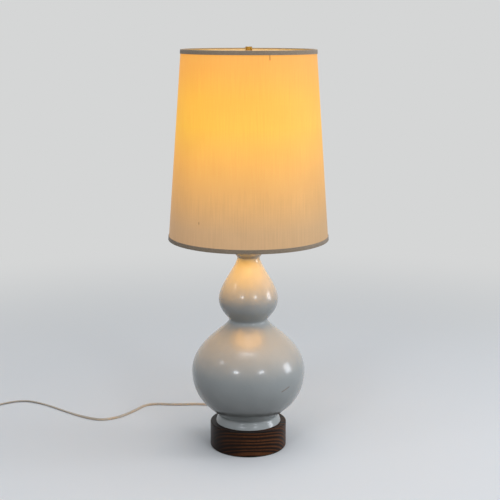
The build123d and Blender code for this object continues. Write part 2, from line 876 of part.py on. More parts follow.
def bulb_glass():
    neck_z = bulb_thread_top - bulb_seating
    thin = bulb_glass_wall
    outline = bulb_glass_outline(0.0)
    outline += Line((0, globe_centre + bulb_globe_radius), (0, globe_centre + bulb_globe_radius - thin))
    outline += bulb_glass_outline(thin)
    outline += Polyline((bulb_neck_radius - thin, neck_z + thin), (0, neck_z + thin), (0, neck_z))
    outline += Line((0, neck_z), (bulb_neck_radius, neck_z))
    return turned(outline)


def bulb_base():
    """Metal screw base: a thin cup with rounded thread ridges."""
    low, high = bulb_thread_bottom, bulb_thread_top
    ridge = bulb_thread_depth
    pitch = bulb_thread_pitch
    ridges = int((high - low - 2 * pitch) / pitch) + 1
    outer = bulb_thread_radius
    foot = bulb_tip_radius + bulb_tip_rim + SLIVER
    profile = [(foot, low), (outer - bulb_base_taper, low + bulb_base_foot), (outer - ridge, low + pitch)]
    radii = [0.0, bulb_base_foot, bulb_thread_root]
    for i in range(ridges):
        z = low + pitch * (i + 1)
        profile += [(outer, z + pitch / 2), (outer - ridge, z + pitch)]
        radii += [bulb_thread_crest, bulb_thread_root]
    radii[-1] = 0.0
    inner = outer - ridge - bulb_thread_wall
    inside = inner - bulb_lip_inside
    seating = high - bulb_seating - SLIVER
    neck = bulb_neck_radius + SLIVER / 2
    profile += [(outer - ridge, high), (neck, high), (neck, seating)]
    radii += [0.0, 0.0, 0.0]
    profile += [(inside, seating), (inside, low + bulb_floor)]
    radii += [0.0, 0.0]
    profile += [(foot, low + bulb_floor)]
    radii += [0.0]
    return turned_corners(profile, radii)


def bulb_tip_contact():
    """Black insulator with the solder point of the centre contact."""
    low, high = bulb_tip, bulb_thread_bottom
    side = bulb_tip_radius + bulb_tip_rim
    top = high + bulb_tip_sunk
    return turned_corners(
        [
            (0, low),
            (bulb_tip_point, low),
            (bulb_tip_radius, low + bulb_tip_bevel),
            (side, high + bulb_tip_seat),
            (side, top),
            (0, top),
        ],
        [0.0, bulb_tip_edge, bulb_tip_edge, 0.0, 0.0, 0.0],
    )


# ------------------------------------------------------------------ shade
def cone_skin(outside, thickness):
    """One layer of the shade between its two trims' folds, lying a distance inside the outer face."""
    low = shade_bottom + trim_thickness + SLIVER
    high = shade_top - trim_thickness - SLIVER
    return turned_corners(
        [
            (shade_radius(low, outside + thickness), low),
            (shade_radius(low, outside), low),
            (shade_radius(high, outside), high),
            (shade_radius(high, outside + thickness), high),
        ]
    )


def shade_fabric():
    return cone_skin(0.0, fabric_thickness)


def shade_liner():
    return cone_skin(fabric_thickness + SLIVER, liner_thickness)


def ring_inset():
    """Distance of a wire ring's centre inside the fabric's outer face."""
    return fabric_thickness + liner_thickness + ring_wire_radius + 2 * SLIVER


def ring_height(edge, way):
    """Height of a wire ring's centre, just inside a trim's fold."""
    return edge + way * (trim_thickness + SLIVER + ring_wire_radius)


def trim(edge, way):
    """Tape folded over an edge of the shade and its wire ring. way is 1 at the bottom, -1 at the top."""
    outside = -trim_thickness - SLIVER
    flap_out = ring_inset() + ring_wire_radius + SLIVER
    flap_in = flap_out + trim_thickness
    low, high = edge, edge + way * trim_width
    fold = edge + way * trim_thickness
    flap = edge + way * trim_flap
    corners = [
        (shade_radius(low, outside), low),
        (shade_radius(high, outside), high),
        (shade_radius(high, -SLIVER), high),
        (shade_radius(fold, -SLIVER), fold),
        (shade_radius(fold, flap_out), fold),
        (shade_radius(flap, flap_out), flap),
        (shade_radius(flap, flap_in), flap),
        (shade_radius(low, flap_in), low),
    ]
    return turned_corners(corners)


def wire_ring(edge, way):
    z = ring_height(edge, way)
    return Pos(0, 0, z) * Torus(shade_radius(z, ring_inset()), ring_wire_radius)


def arm_line(angle):
    """Centre line of one spider arm, from the hub out and up to the ring."""
    z_ring = ring_height(shade_top, -1)
    reach = shade_radius(z_ring, ring_inset())
    z_hub = seat_top + spider_wire_radius
    turn = Rot(0, 0, angle)
    return turn * FilletPolyline(
        (spider_washer_radius - spider_weld, 0, z_hub),
        (reach - spider_knee, 0, z_hub),
        (reach, 0, z_ring),
        radius=spider_bend,
    )


def arm_angles():
    return [first_arm_angle + 360 / spider_arms * i for i in range(spider_arms)]


def arm_solid(angle, radius):
    line = arm_line(angle)
    return sweep(Plane(origin=line @ 0, z_dir=line % 0) * Circle(radius), path=line)


def shade_spider():
    """Washer on the harp's seat, dropped arms and the top wire ring, welded together."""
    hole = stud_radius + spider_hole_clearance
    spider = wire_ring(shade_top, -1)
    spider += tube(spider_washer_radius, hole, seat_top, washer_top)
    for angle in arm_angles():
        spider += arm_solid(angle, spider_wire_radius)
    return spider


def top_trim():
    """The top tape, slit where the spider's arms come through its inner flap."""
    tape = trim(shade_top, -1)
    for angle in arm_angles():
        tape -= arm_solid(angle, spider_wire_radius + SOFT_GAP)
    return tape


def finial():
    """Plain brass cylinder screwed on the harp's stud, clamping the spider."""
    low, high = washer_top, washer_top + finial_height
    radius = finial_radius
    step = finial_groove
    body = turned_corners(
        [
            (stud_radius + RUNNING, low),
            (radius - step, low),
            (radius - step, low + finial_step),
            (radius, low + finial_step + finial_step_taper),
            (radius, high),
            (0, high),
            (0, low + finial_bore_depth),
            (stud_radius + RUNNING, low + finial_bore_depth),
        ],
        [0.0, *[finial_step_round] * 3, finial_round, 0.0, 0.0, 0.0],
    )
    return body


# ------------------------------------------------------------------ cords
def inner_cord():
    """Cord inside the lamp: through the bushing, round under the rod, and up to the socket."""
    top = shell_bottom + leads_start
    path = FilletPolyline(
        (0, cord_exit, cord_height),
        (0, 0, cord_height),
        (0, 0, top),
        radius=inner_bend_radius,
    )
    return twin_cord(path, (1, 0, 0))


def wire_leads():
    """The two cores, split above the rod and led to the terminal screws."""
    top = shell_bottom + leads_start
    level = body_bottom - SLIVER - lead_radius
    column = terminal_flat + lead_radius + SLIVER
    end = terminal_z - terminal_head_radius - SLIVER
    core = cord_width / 2 - cord_thickness / 2
    leads = []
    for side in (-1, 1):
        points = [
            (side * core, 0, top),
            (side * core, 0, level),
            (side * column, 0, level),
            (side * column, 0, end),
        ]
        path = FilletPolyline(*points, radius=[lead_turn, lead_radius + SLIVER])
        face = Plane(origin=points[0], z_dir=(0, 0, 1)) * Circle(lead_radius)
        leads.append(sweep(face, path=path))
    return Compound(leads)


def power_cord():
    """The free stretch of the flat cord, from the bushing over the table to the coil."""
    radii = corner_radii(cord_route)
    path = FilletPolyline(*cord_route, radius=radii)
    cord = twin_cord(path, (1, 0, 0))
    area = twin_section(Plane.XY).area
    print("cord corner radii", [round(r, 1) for r in radii], "least", round(min(radii), 1))
    print("cord volume", round(cord.volume, 1), "section x length", round(area * path.length, 1))
    return cord, path.length


def coil_frame():
    """Start of the coil's turns, its heading there, and the direction out from its centre."""
    last, end = Vector(*cord_route[-2]), Vector(*cord_route[-1])
    heading = (end - last).normalized()
    outward = Vector(-heading.Y, heading.X, 0)
    return end + heading * coil_tip_gap, heading, outward


def coil_path():
    """Half-turn arcs: in on the lower layer, up a layer in one tilted half turn, and out on the upper."""
    start, heading, outward = coil_frame()
    step = coil_pitch / 2
    inwards = [coil_radius - step * i for i in range(half_turns_per_layer)]
    innermost = coil_radius - step * half_turns_per_layer
    edges = [Line(Vector(*cord_route[-1]), start)]
    here = start
    side = outward
    for index, radius in enumerate(inwards + [innermost] + inwards[::-1]):
        rise = coil_layer if index == half_turns_per_layer else 0.0
        end = here - side * (2 * radius) + Vector(0, 0, rise)
        middle = (here + end) * 0.5
        slant = (end - here).length / 2
        edges.append(ThreePointArc(here, middle + heading * slant, end))
        here = end
        side = side * -1
        heading = heading * -1
    edges.append(Line(here, here + heading * coil_tail))
    return Wire(edges)


def least_coil_gap(path):
    """Least gap between turns, between the centre lines of the cord's two cores, less their diameter."""
    spacing = 2.5
    count = int(path.length / spacing)
    core = cord_width / 2 - cord_thickness / 2
    across = None
    points = []
    for i in range(count + 1):
        share = i / count
        here, along = path @ share, path % share
        across = along.cross(Vector(0, 0, 1)) if across is None else across
        across = (across - along * across.dot(along)).normalized()
        points.append((share * path.length, here + across * core))
        points.append((share * path.length, here - across * core))
    least = math.inf
    apart = math.pi * (coil_radius - coil_pitch * half_turns_per_layer / 2)
    for i, (at, a) in enumerate(points):
        for further, b in points[i + 1 :]:
            if further - at > apart:
                least = min(least, (a - b).length)
    return least - cord_thickness


def cord_coil():
    """The length that is put away: one unbroken cord in two layers of turns."""
    path = coil_path()
    _, heading, _ = coil_frame()
    coil = twin_cord(path, (heading.Y, -heading.X, 0))
    area = twin_section(Plane.XY).area
    print("coil length", round(path.length, 1), "least gap", round(least_coil_gap(path), 2))
    print("coil volume", round(coil.volume, 1), "section x length", round(area * path.length, 1))
    return coil, path


def coil_tie():
    """Flat band round one side of the coil, square to the turns, where the cord doesn't climb."""
    start, heading, outward = coil_frame()
    step = coil_pitch / 2
    first = 0 if half_turns_per_layer % 2 else 1
    held = list(range(first, half_turns_per_layer, 2))
    hub = start - outward * (coil_radius + step * first)
    way = 1 if first == 0 else -1
    middle_radius = coil_radius - step * (held[0] + held[-1]) / 2
    centre = hub + heading * (way * middle_radius) - outward * step
    roll = coil_layer / (coil_radius - step * half_turns_per_layer)
    lift = cord_width / 2 * math.sin(roll)
    inner_width = step * (held[-1] - held[0]) + cord_width + 2 * tie_edge_gap
    low = tie_thickness
    high = coil_height + coil_layer + cord_thickness / 2 + lift + SOFT_GAP
    origin = Vector(centre.X, centre.Y, (low + high) / 2)
    plane = Plane(origin=origin, x_dir=heading, z_dir=outward)
    inner = RectangleRounded(inner_width, high - low, tie_corner)
    outer_width = inner_width + 2 * tie_thickness
    outer_height = high - low + 2 * tie_thickness
    outer = RectangleRounded(outer_width, outer_height, tie_corner + tie_thickness)
    return extrude(plane * (outer - inner), tie_width / 2, both=True)


def plug_plane(path):
    """Plane across the end of the cord, its z along the cord and its x level."""
    end, along = path @ 1, path % 1
    return Plane(origin=end, x_dir=(along.Y, -along.X, 0), z_dir=along)


def plug_body(plane):
    """Flat moulded two-pole plug: a tail for the cord swelling into a gripped body."""
    full = 2 * (coil_height + coil_layer)
    tail = [
        plane * RectangleRounded(plug_tail_width, plug_tail_thickness, plug_edge_round),
        plane.offset(plug_tail) * RectangleRounded(plug_width, full - plug_tail_slack, plug_edge_round),
    ]
    body = loft(tail)
    waist = plug_tail + plug_waist_at * (plug_length - plug_tail)
    sections = [
        (plug_tail, plug_width, plug_tail_slack),
        (waist, plug_width - plug_waist, plug_waist_slack),
        (plug_length, plug_nose_width, plug_nose_slack),
    ]
    grip = [
        plane.offset(along) * RectangleRounded(width, full - slack, plug_edge_round)
        for along, width, slack in sections
    ]
    body += loft(grip)
    for side, width in ((-1, blade_width_live), (1, blade_width_neutral)):
        body -= blade(plane, side, width)
    return body


def blade(plane, side, width):
    """One flat blade, from inside the plug to its rounded tip."""
    at = plane.offset(plug_length - blade_inside) * Pos(side * blade_spacing / 2, 0, 0)
    length = blade_inside + blade_length
    strip = at * Pos(0, 0, length / 2) * Box(blade_thickness, width, length)
    tip = strip.edges().filter_by(Axis(origin=(0, 0, 0), direction=plane.x_dir))
    tip = tip.sort_by(lambda e: (e.center() - plane.origin).dot(plane.z_dir))[-2:]
    return fillet(tip, blade_tip_round)


def plug_blades(plane):
    blades = []
    for side, width in ((-1, blade_width_live), (1, blade_width_neutral)):
        reach = plug_length + blade_length - blade_hole_from_tip
        hole_at = plane.offset(reach) * Pos(side * blade_spacing / 2, 0, 0)
        hole = hole_at * Rot(0, 90, 0) * Cylinder(blade_hole_radius, 4 * blade_thickness)
        blades.append(blade(plane, side, width) - hole)
    return Compound(blades)


# ------------------------------------------------------------------ writing out
def lamp():
    """Every piece by its node name."""
    cord, free_length = power_cord()
    coil, path = cord_coil()
    print("cord from base to plug", round(free_length + path.length, 1), "of", cord_total)
    plane = plug_plane(path)
    return {
        "base_felt": base_felt(),
        "wood_base": wood_base(),
        "cord_bushing": cord_bushing(),
        "base_washer": base_washer(),
        "base_nut": base_nut(),
        "threaded_rod": threaded_rod(),
        "gourd_vase": gourd_vase(),
        "vase_cap": vase_cap(),
        "brass_column": brass_column(),
        "lock_nut": lock_nut(),
        "harp_saddle": harp_saddle(),
        "harp": harp(),
        "harp_sleeve_left": harp_sleeve(-1),
        "harp_sleeve_right": harp_sleeve(1),
        "socket_cap": socket_cap(),
        "socket_set_screw": socket_set_screw(),
        "socket_shell": socket_shell(),
        "socket_liner": socket_liner(),
        "socket_body": socket_body(),
        "terminal_screws": terminal_screws(),
        "screw_shell": screw_shell(),
        "centre_contact": centre_contact(),
        "switch_shaft": switch_shaft(),
        "switch_knob": switch_knob(),
        "bulb_glass": bulb_glass(),
        "bulb_base": bulb_base(),
        "bulb_tip": bulb_tip_contact(),
        "shade_fabric": shade_fabric(),
        "shade_liner": shade_liner(),
        "bottom_trim": trim(shade_bottom, 1),
        "bottom_ring": wire_ring(shade_bottom, 1),
        "top_trim": top_trim(),
        "shade_spider": shade_spider(),
        "finial": finial(),
        "inner_cord": inner_cord(),
        "wire_leads": wire_leads(),
        "power_cord": cord,
        "cord_coil": coil,
        "coil_tie": coil_tie(),
        "plug_body": plug_body(plane),
        "plug_blades": plug_blades(plane),
    }


os.makedirs("parts", exist_ok=True)
for node, shape in lamp().items():
    export_step(shape, f"parts/{node}.step")
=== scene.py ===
"""Looks of the double gourd table lamp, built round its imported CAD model.

Metres, +Z up. The origin is on the floor, on the lamp's own axis; +Y is the lamp's back.
Run as a script. Its panel stands in the 3D view's sidebar, under Lamp.
"""

import math

import bpy
import numpy as np
from mathutils import Matrix, Vector


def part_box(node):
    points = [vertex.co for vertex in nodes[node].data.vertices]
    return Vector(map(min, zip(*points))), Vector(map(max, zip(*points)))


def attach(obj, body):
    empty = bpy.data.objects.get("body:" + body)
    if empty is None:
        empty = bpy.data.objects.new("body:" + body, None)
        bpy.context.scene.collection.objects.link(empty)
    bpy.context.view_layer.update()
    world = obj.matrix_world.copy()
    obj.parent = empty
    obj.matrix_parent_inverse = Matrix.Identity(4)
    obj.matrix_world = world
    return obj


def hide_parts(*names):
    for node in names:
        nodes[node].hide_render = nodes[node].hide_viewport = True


bl_info = {
    "name": "Double Gourd Lamp",
    "version": (1, 0, 0),
    "blender": (4, 5, 0),
    "location": "3D View > Sidebar > Lamp",
    "description": "Double gourd table lamp with a silk shade: its pieces, finishes and stage",
    "category": "Object",
}

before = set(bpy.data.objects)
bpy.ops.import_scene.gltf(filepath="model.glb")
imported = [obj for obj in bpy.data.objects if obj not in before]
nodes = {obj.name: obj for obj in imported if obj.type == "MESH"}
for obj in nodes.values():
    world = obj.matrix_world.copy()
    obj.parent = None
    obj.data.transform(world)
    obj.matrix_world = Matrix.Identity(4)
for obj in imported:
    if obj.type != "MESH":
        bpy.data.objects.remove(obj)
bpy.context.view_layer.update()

MM = 0.001
LAMP_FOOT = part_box("wood_base")[1].z
LIP_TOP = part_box("gourd_vase")[1].z
SHADE_LOW, SHADE_HIGH = (corner.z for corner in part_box("shade_fabric"))
SHADE_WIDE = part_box("shade_fabric")[1].x
TAPE_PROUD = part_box("bottom_trim")[1].x - SHADE_WIDE
SHADE_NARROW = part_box("top_trim")[1].x - TAPE_PROUD
BULB_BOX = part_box("bulb_glass")
GLOW_HEIGHT = BULB_BOX[1].z - (BULB_BOX[1].x - BULB_BOX[0].x) / 2
GOURD_MIDDLE = Vector((0.0, 0.0, (LAMP_FOOT + LIP_TOP) / 2))
SHARP_ANGLE = math.radians(38)
# Radians over which a lap climbs on to the start of its own wrap.
LAP_CLIMB = 0.012
# Where the free cord's roll comes in and goes out again: no roll and full roll, by distance from the base.
ROLL_SPANS = ((0.10, 0.17), (0.56, 0.47))


# ------------------------------------------------------------------ nodes and meshes
def linear(colour):
    """Linear RGBA of an sRGB hex colour."""
    channels = [int(colour[i : i + 2], 16) / 255 for i in (1, 3, 5)]
    return [c / 12.92 if c <= 0.04045 else ((c + 0.055) / 1.055) ** 2.4 for c in channels] + [1.0]


def add(tree, kind, feeds=None, **settings):
    """Adds a node. Settings are its own properties; feeds gives its inputs values, sockets or nodes."""
    node = tree.nodes.new(kind)
    for name, value in settings.items():
        setattr(node, name, value)
    for key, value in (feeds or {}).items():
        if isinstance(value, bpy.types.Node):
            value = next(socket for socket in value.outputs if socket.enabled)
        if isinstance(value, bpy.types.NodeSocket):
            tree.links.new(value, node.inputs[key])
        else:
            node.inputs[key].default_value = value
    return node


def calc(tree, operation, *values, **settings):
    """A sum worked out on one to three values."""
    return add(tree, "ShaderNodeMath", dict(enumerate(values)), operation=operation, **settings)


def vector(tree, operation, *values):
    """A sum worked out on vectors; SCALE takes a plain factor as its second value."""
    keys = (0, "Scale") if operation == "SCALE" else (0, 1)
    return add(tree, "ShaderNodeVectorMath", dict(zip(keys, values)), operation=operation)


def remap(tree, value, low, high, to_low=0.0, to_high=1.0, smooth=False):
    """A value carried over from one range to another and held inside it."""
    limits = {"Value": value, "From Min": low, "From Max": high, "To Min": to_low, "To Max": to_high}
    kind = "SMOOTHSTEP" if smooth else "LINEAR"
    return add(tree, "ShaderNodeMapRange", limits, interpolation_type=kind)


def noise(tree, place, size, detail=2.0, **sockets):
    """Noise in blotches of a size in millimetres, where place is in metres."""
    feeds = {"Vector": place, "Scale": 1000 / size, "Detail": detail, **sockets}
    return add(tree, "ShaderNodeTexNoise", feeds)


def own_place(tree):
    """Where a point is, in the lamp's frame."""
    return add(tree, "ShaderNodeTexCoord").outputs["Object"]


def mixed(tree, share, first, second):
    """A colour between two colours."""
    return add(tree, "ShaderNodeMix", {0: share, 6: first, 7: second}, data_type="RGBA").outputs[2]


def tint(tree, shader, colour, pattern, low, high):
    """Gives a shader its colour, darker and lighter by a noise pattern."""
    tone = remap(tree, pattern, 0.3, 0.7, low, high)
    body = vector(tree, "SCALE", list(colour)[:3], tone)
    tree.links.new(body.outputs[0], shader.inputs["Base Color"])


def roughen(tree, shader, height, strength, depth):
    """Bumps a shader's surface by a height pattern, to a depth in metres."""
    bump = add(tree, "ShaderNodeBump", {"Height": height, "Strength": strength, "Distance": depth})
    tree.links.new(bump.outputs[0], shader.inputs["Normal"])


def fill_ramp(node, stops):
    """Sets a colour ramp's stops from {place: sRGB hex colour}."""
    ramp = node.color_ramp
    while len(ramp.elements) < len(stops):
        ramp.elements.new(0.5)
    for element, (place, colour) in zip(ramp.elements, sorted(stops.items())):
        element.position = place
        element.color = linear(colour)
    return node


def begin_finish(name, colour, **sockets):
    """A material with plain values on the Principled shader's own sockets; underscores stand for spaces."""
    material = bpy.data.materials.new(name)
    material.use_nodes = True
    tree = material.node_tree
    shader = tree.nodes["Principled BSDF"]
    shader.inputs["Base Color"].default_value = linear(colour)
    for socket, value in sockets.items():
        shader.inputs[socket.replace("_", " ")].default_value = value
    return material, tree, shader


def coat_nodes(material, *names):
    """Puts a material on CAD nodes, through their objects' own material slots."""
    for name in names:
        for slot in nodes[name].material_slots:
            slot.link = "OBJECT"
            slot.material = material


def mark(tree, place, body, colour, strokes):
    """Stains a body colour along short strokes: each has a start, an end, a width and a strength."""
    for start, end, width, strength in strokes:
        way = Vector(end) - Vector(start)
        off = vector(tree, "SUBTRACT", place, start)
        along = vector(tree, "DOT_PRODUCT", off, way / way.length_squared)
        share = add(tree, "ShaderNodeClamp", {"Value": along.outputs["Value"]})
        nearest = vector(tree, "SCALE", way, share)
        gap = vector(tree, "DISTANCE", off, nearest).outputs["Value"]
        stain = remap(tree, gap, 0.1 * width, 0.5 * width, strength, 0.0)
        body = mixed(tree, stain, body, linear(colour))
    return body


def new_tree(name, line, sizes):
    """A geometry node tree with one geometry input and the named sizes."""
    tree = bpy.data.node_groups.new(name, "GeometryNodeTree")
    tree.interface.new_socket("Result", in_out="OUTPUT", socket_type="NodeSocketGeometry")
    tree.interface.new_socket(line, in_out="INPUT", socket_type="NodeSocketGeometry")
    for label, kind in sizes.items():
        tree.interface.new_socket(label, in_out="INPUT", socket_type="NodeSocket" + kind)
    return tree, add(tree, "NodeGroupInput").outputs


def end_tree(tree, shape, material):
    """Ends a geometry node tree: its shape shaded smooth, made real and given its material."""
    smooth = add(tree, "GeometryNodeSetShadeSmooth", {"Geometry": shape})
    real = add(tree, "GeometryNodeRealizeInstances", {"Geometry": smooth})
    dressed = add(tree, "GeometryNodeSetMaterial", {"Geometry": real, "Material": material})
    add(tree, "NodeGroupOutput", {0: dressed})
    return tree


def stand_in_scene(name, data):
    """A new object in the scene, at the origin."""
    thing = bpy.data.objects.new(name, data)
    bpy.context.scene.collection.objects.link(thing)
    return thing


def grow(name, points, tree, sizes, arrays=None, thickness=0.0):
    """Runs a tree on a line of points and keeps what it makes as a plain mesh at the origin."""
    line = bpy.data.meshes.new(name + "_line")
    line.from_pydata(points, [(i, i + 1) for i in range(len(points) - 1)], [])
    for label, vectors in (arrays or {}).items():
        field = line.attributes.new(label, "FLOAT_VECTOR", "POINT")
        field.data.foreach_set("vector", np.asarray(vectors, np.float32).ravel())
    host = stand_in_scene(name + "_host", line)
    shaper = host.modifiers.new("Shape", "NODES")
    shaper.node_group = tree
    for item in tree.interface.items_tree:
        if item.in_out == "INPUT" and item.name in sizes:
            shaper[item.identifier] = sizes[item.name]
    if thickness:
        wall = host.modifiers.new("Thickness", "SOLIDIFY")
        wall.thickness = thickness
        wall.offset = -1.0
    made = host.evaluated_get(bpy.context.evaluated_depsgraph_get())
    mesh = bpy.data.meshes.new_from_object(made)
    mesh.name = name
    mesh.set_sharp_from_angle(angle=SHARP_ANGLE)
    bpy.data.objects.remove(host)
    bpy.data.meshes.remove(line)
    return stand_in_scene(name, mesh)


def bezier(low, low_handle, high_handle, high, steps):
    """Points of one cubic curve between two (radius, height) ends, without its first point."""
    share = np.linspace(0, 1, steps + 1)[1:, None]
    ends = [np.array(p, float) for p in (low, low_handle, high_handle, high)]
    weights = [(1 - share) ** 3, 3 * share * (1 - share) ** 2, 3 * share**2 * (1 - share), share**3]
    return [tuple(p) for p in sum(w * p for w, p in zip(weights, ends))]


# ------------------------------------------------------------------ node trees
def wrapped_tree():
    """A line of (0, radius, height) points wrapped round the upright axis, starting at the back."""
    tree, given = new_tree(
        "Wrapped",
        "Line",
        {
            "Steps": "Int",
            "Lap": "Float",
            "Lift": "Float",
            "Ribs": "Int",
            "Rib Depth": "Float",
            "Wobble": "Float",
            "Wobble Scale": "Float",
            "Seed": "Float",
            "Material": "Material",
        },
    )
    rows = add(tree, "GeometryNodeAttributeDomainSize", {0: given["Line"]}).outputs["Point Count"]
    columns = add(tree, "FunctionNodeIntegerMath", {0: given["Steps"], 1: 1}, operation="ADD")
    grid = add(tree, "GeometryNodeMeshGrid", {"Vertices X": columns, "Vertices Y": rows})
    index = add(tree, "GeometryNodeInputIndex")
    column = add(tree, "FunctionNodeIntegerMath", {0: index, 1: rows}, operation="DIVIDE_FLOOR")
    row = add(tree, "FunctionNodeIntegerMath", {0: index, 1: rows}, operation="MODULO")
    # The line's point and its outward direction, for each point of the grid.
    drawn = add(
        tree,
        "GeometryNodeSampleIndex",
        {"Geometry": given["Line"], "Value": add(tree, "GeometryNodeInputPosition"), "Index": row},
        data_type="FLOAT_VECTOR",
    )
    named = add(tree, "GeometryNodeInputNamedAttribute", {"Name": "out"}, data_type="FLOAT_VECTOR")
    out = add(
        tree,
        "GeometryNodeSampleIndex",
        {"Geometry": given["Line"], "Value": named, "Index": row},
        data_type="FLOAT_VECTOR",
    )
    whole = calc(tree, "ADD", given["Lap"], math.tau)
    share = calc(tree, "DIVIDE", column, given["Steps"])
    angle = calc(tree, "MULTIPLY", share, whole)
    # Ribs rise and fall once each; the lap climbs over the wrap's own start.
    phase = calc(tree, "MULTIPLY", angle, given["Ribs"])
    wave = calc(tree, "COSINE", phase)
    rib = calc(tree, "MULTIPLY_ADD", wave, -0.5, 0.5)
    ribs = calc(tree, "MULTIPLY", rib, given["Rib Depth"])
    climb = remap(tree, angle, math.tau - LAP_CLIMB, math.tau, smooth=True)
    lift = calc(tree, "MULTIPLY_ADD", climb, given["Lift"], ribs)
    turned = add(tree, "FunctionNodeAxisAngleToRotation", {"Angle": angle})
    place = add(tree, "FunctionNodeRotateVector", {"Vector": drawn, "Rotation": turned})
    # A slight unevenness of hand work, the same at both ends of the wrap because it reads the place.
    rough = add(
        tree,
        "ShaderNodeTexNoise",
        {"Vector": place, "W": given["Seed"], "Scale": given["Wobble Scale"], "Detail": 1.0},
        noise_dimensions="4D",
    )
    centred = calc(tree, "ADD", rough.outputs[0], -0.5)
    height = calc(tree, "MULTIPLY_ADD", centred, given["Wobble"], lift)
    outward = add(tree, "FunctionNodeRotateVector", {"Vector": out, "Rotation": turned})
    moved = vector(tree, "SCALE", outward, height)
    there = vector(tree, "ADD", place, moved)
    shaped = add(tree, "GeometryNodeSetPosition", {"Geometry": grid.outputs["Mesh"], "Position": there})
    kept = add(
        tree,
        "GeometryNodeStoreNamedAttribute",
        {"Geometry": shaped, "Name": "Wrap", "Value": grid.outputs["UV Map"]},
        data_type="FLOAT2",
        domain="CORNER",
    )
    joined = add(tree, "GeometryNodeMergeByDistance", {"Geometry": kept, "Distance": 1e-6})
    return end_tree(tree, joined, given["Material"])


def laid_cord_tree():
    """The flat twin cord's section drawn along a path: level, but for a roll where the cord lies free."""
    tree, given = new_tree(
        "Laid Cord",
        "Path",
        {
            "Core Radius": "Float",
            "Core Offset": "Float",
            "Web Cut": "Float",
            "Web Reach": "Float",
            "Roll": "Float",
            "Section Points": "Int",
            "Material": "Material",
        },
    )
    run = add(tree, "GeometryNodeMeshToCurve", {"Mesh": given["Path"]})
    upright = add(tree, "GeometryNodeSetCurveNormal", {"Curve": run}, mode="Z_UP")
    length = add(tree, "GeometryNodeSplineParameter").outputs["Length"]
    tilt = given["Roll"]
    for start, full in ROLL_SPANS:
        share = remap(tree, length, start, full, smooth=True)
        tilt = calc(tree, "MULTIPLY", tilt, share)
    rolled = add(tree, "GeometryNodeSetCurveTilt", {"Curve": upright, "Tilt": tilt})
    travelled = add(
        tree, "GeometryNodeStoreNamedAttribute", {"Geometry": rolled, "Name": "along", "Value": length}
    )
    circle = add(
        tree, "GeometryNodeCurvePrimitiveCircle", {"Resolution": given["Section Points"], "Radius": 1.0}
    )
    unit = add(tree, "ShaderNodeSeparateXYZ", {0: add(tree, "GeometryNodeInputPosition")})
    cosine, sine = unit.outputs["X"], unit.outputs["Y"]
    # Across: two round cores side by side. Up: the same circle, pinched at the web between them.
    square = calc(tree, "MULTIPLY", cosine, cosine)
    swing = calc(tree, "MULTIPLY_ADD", square, -0.5, 1.5)
    apart = calc(tree, "MULTIPLY", swing, cosine)
    shift = calc(tree, "MULTIPLY", apart, given["Core Offset"])
    across = calc(tree, "MULTIPLY_ADD", cosine, given["Core Radius"], shift)
    near = calc(tree, "DIVIDE", across, given["Web Reach"])
    fall = calc(tree, "POWER", near, 2.0)
    fade = calc(tree, "MULTIPLY", fall, -1.0)
    bell = calc(tree, "EXPONENT", fade)
    pinch = calc(tree, "MULTIPLY", bell, given["Web Cut"])
    waist = calc(tree, "SUBTRACT", 1.0, pinch)
    tall = calc(tree, "MULTIPLY", sine, given["Core Radius"])
    up = calc(tree, "MULTIPLY", tall, waist)
    place = add(tree, "ShaderNodeCombineXYZ", {"X": across, "Y": up})
    section = add(tree, "GeometryNodeSetPosition", {"Geometry": circle, "Position": place})
    marked = add(
        tree,
        "GeometryNodeStoreNamedAttribute",
        {"Geometry": section, "Name": "across", "Value": add(tree, "GeometryNodeInputPosition")},
        data_type="FLOAT_VECTOR",
    )
    tube = add(
        tree, "GeometryNodeCurveToMesh", {"Curve": travelled, "Profile Curve": marked, "Fill Caps": True}
    )
    return end_tree(tree, tube, given["Material"])


# ------------------------------------------------------------------ sizes and colours a user would change
def length_choice(name, description, default, precision=4):
    """A length property in metres."""
    return bpy.props.FloatProperty(
        name=name, description=description, default=default, unit="LENGTH", precision=precision
    )


def station_choice(name, description, default):
    """A property of four lengths that belong together, in metres."""
    return bpy.props.FloatVectorProperty(
        name=name, description=description, size=4, default=default, unit="LENGTH", precision=4
    )


def angle_choice(name, description, degrees):
    """An angle property with its default in degrees."""
    return bpy.props.FloatProperty(
        name=name, description=description, default=math.radians(degrees), unit="ROTATION"
    )


def strength_choice(name, description, default, most):
    """A property for a strength from nothing up to a limit."""
    return bpy.props.FloatProperty(name=name, description=description, default=default, min=0.0, max=most)


def colour_choice(name, description, value):
    """A colour property with a linear default written as an sRGB hex value."""
    return bpy.props.FloatVectorProperty(
        name=name, description=description, subtype="COLOR", size=4, min=0.0, max=1.0, default=linear(value)
    )


STATION = "Radius, height, fullness below and above, of "


class GourdSizes(bpy.types.PropertyGroup):
    """The gourd's stations: radius, height above the wood, and how far it keeps upright below and above."""

    groove: station_choice("Groove", STATION + "the groove over the foot", (0.0588, 0.0139, 0.0, 0.0097))
    lower: station_choice(
        "Lower gourd", STATION + "the lower gourd's widest line", (0.1106, 0.1043, 0.0636, 0.0568)
    )
    waist: station_choice("Waist", STATION + "the waist", (0.0375, 0.2079, 0.0154, 0.0052))
    upper: station_choice(
        "Upper gourd", STATION + "the upper gourd's widest line", (0.0576, 0.2489, 0.0225, 0.0274)
    )
    neck: station_choice("Neck", STATION + "the neck's narrowest line", (0.0217, 0.331, 0.0169, 0.0015))
    foot: station_choice(
        "Foot ring",
        "Radius at the wood, radius of its shoulder, height of the shoulder, rounding of its edge",
        (0.0642, 0.0624, 0.006, 0.0012),
    )
    wall: length_choice("Wall", "Thickness of the thrown wall", 0.0062)
    unevenness: length_choice(
        "Unevenness", "How far the thrown surface strays from its true line", 0.00022, 5
    )


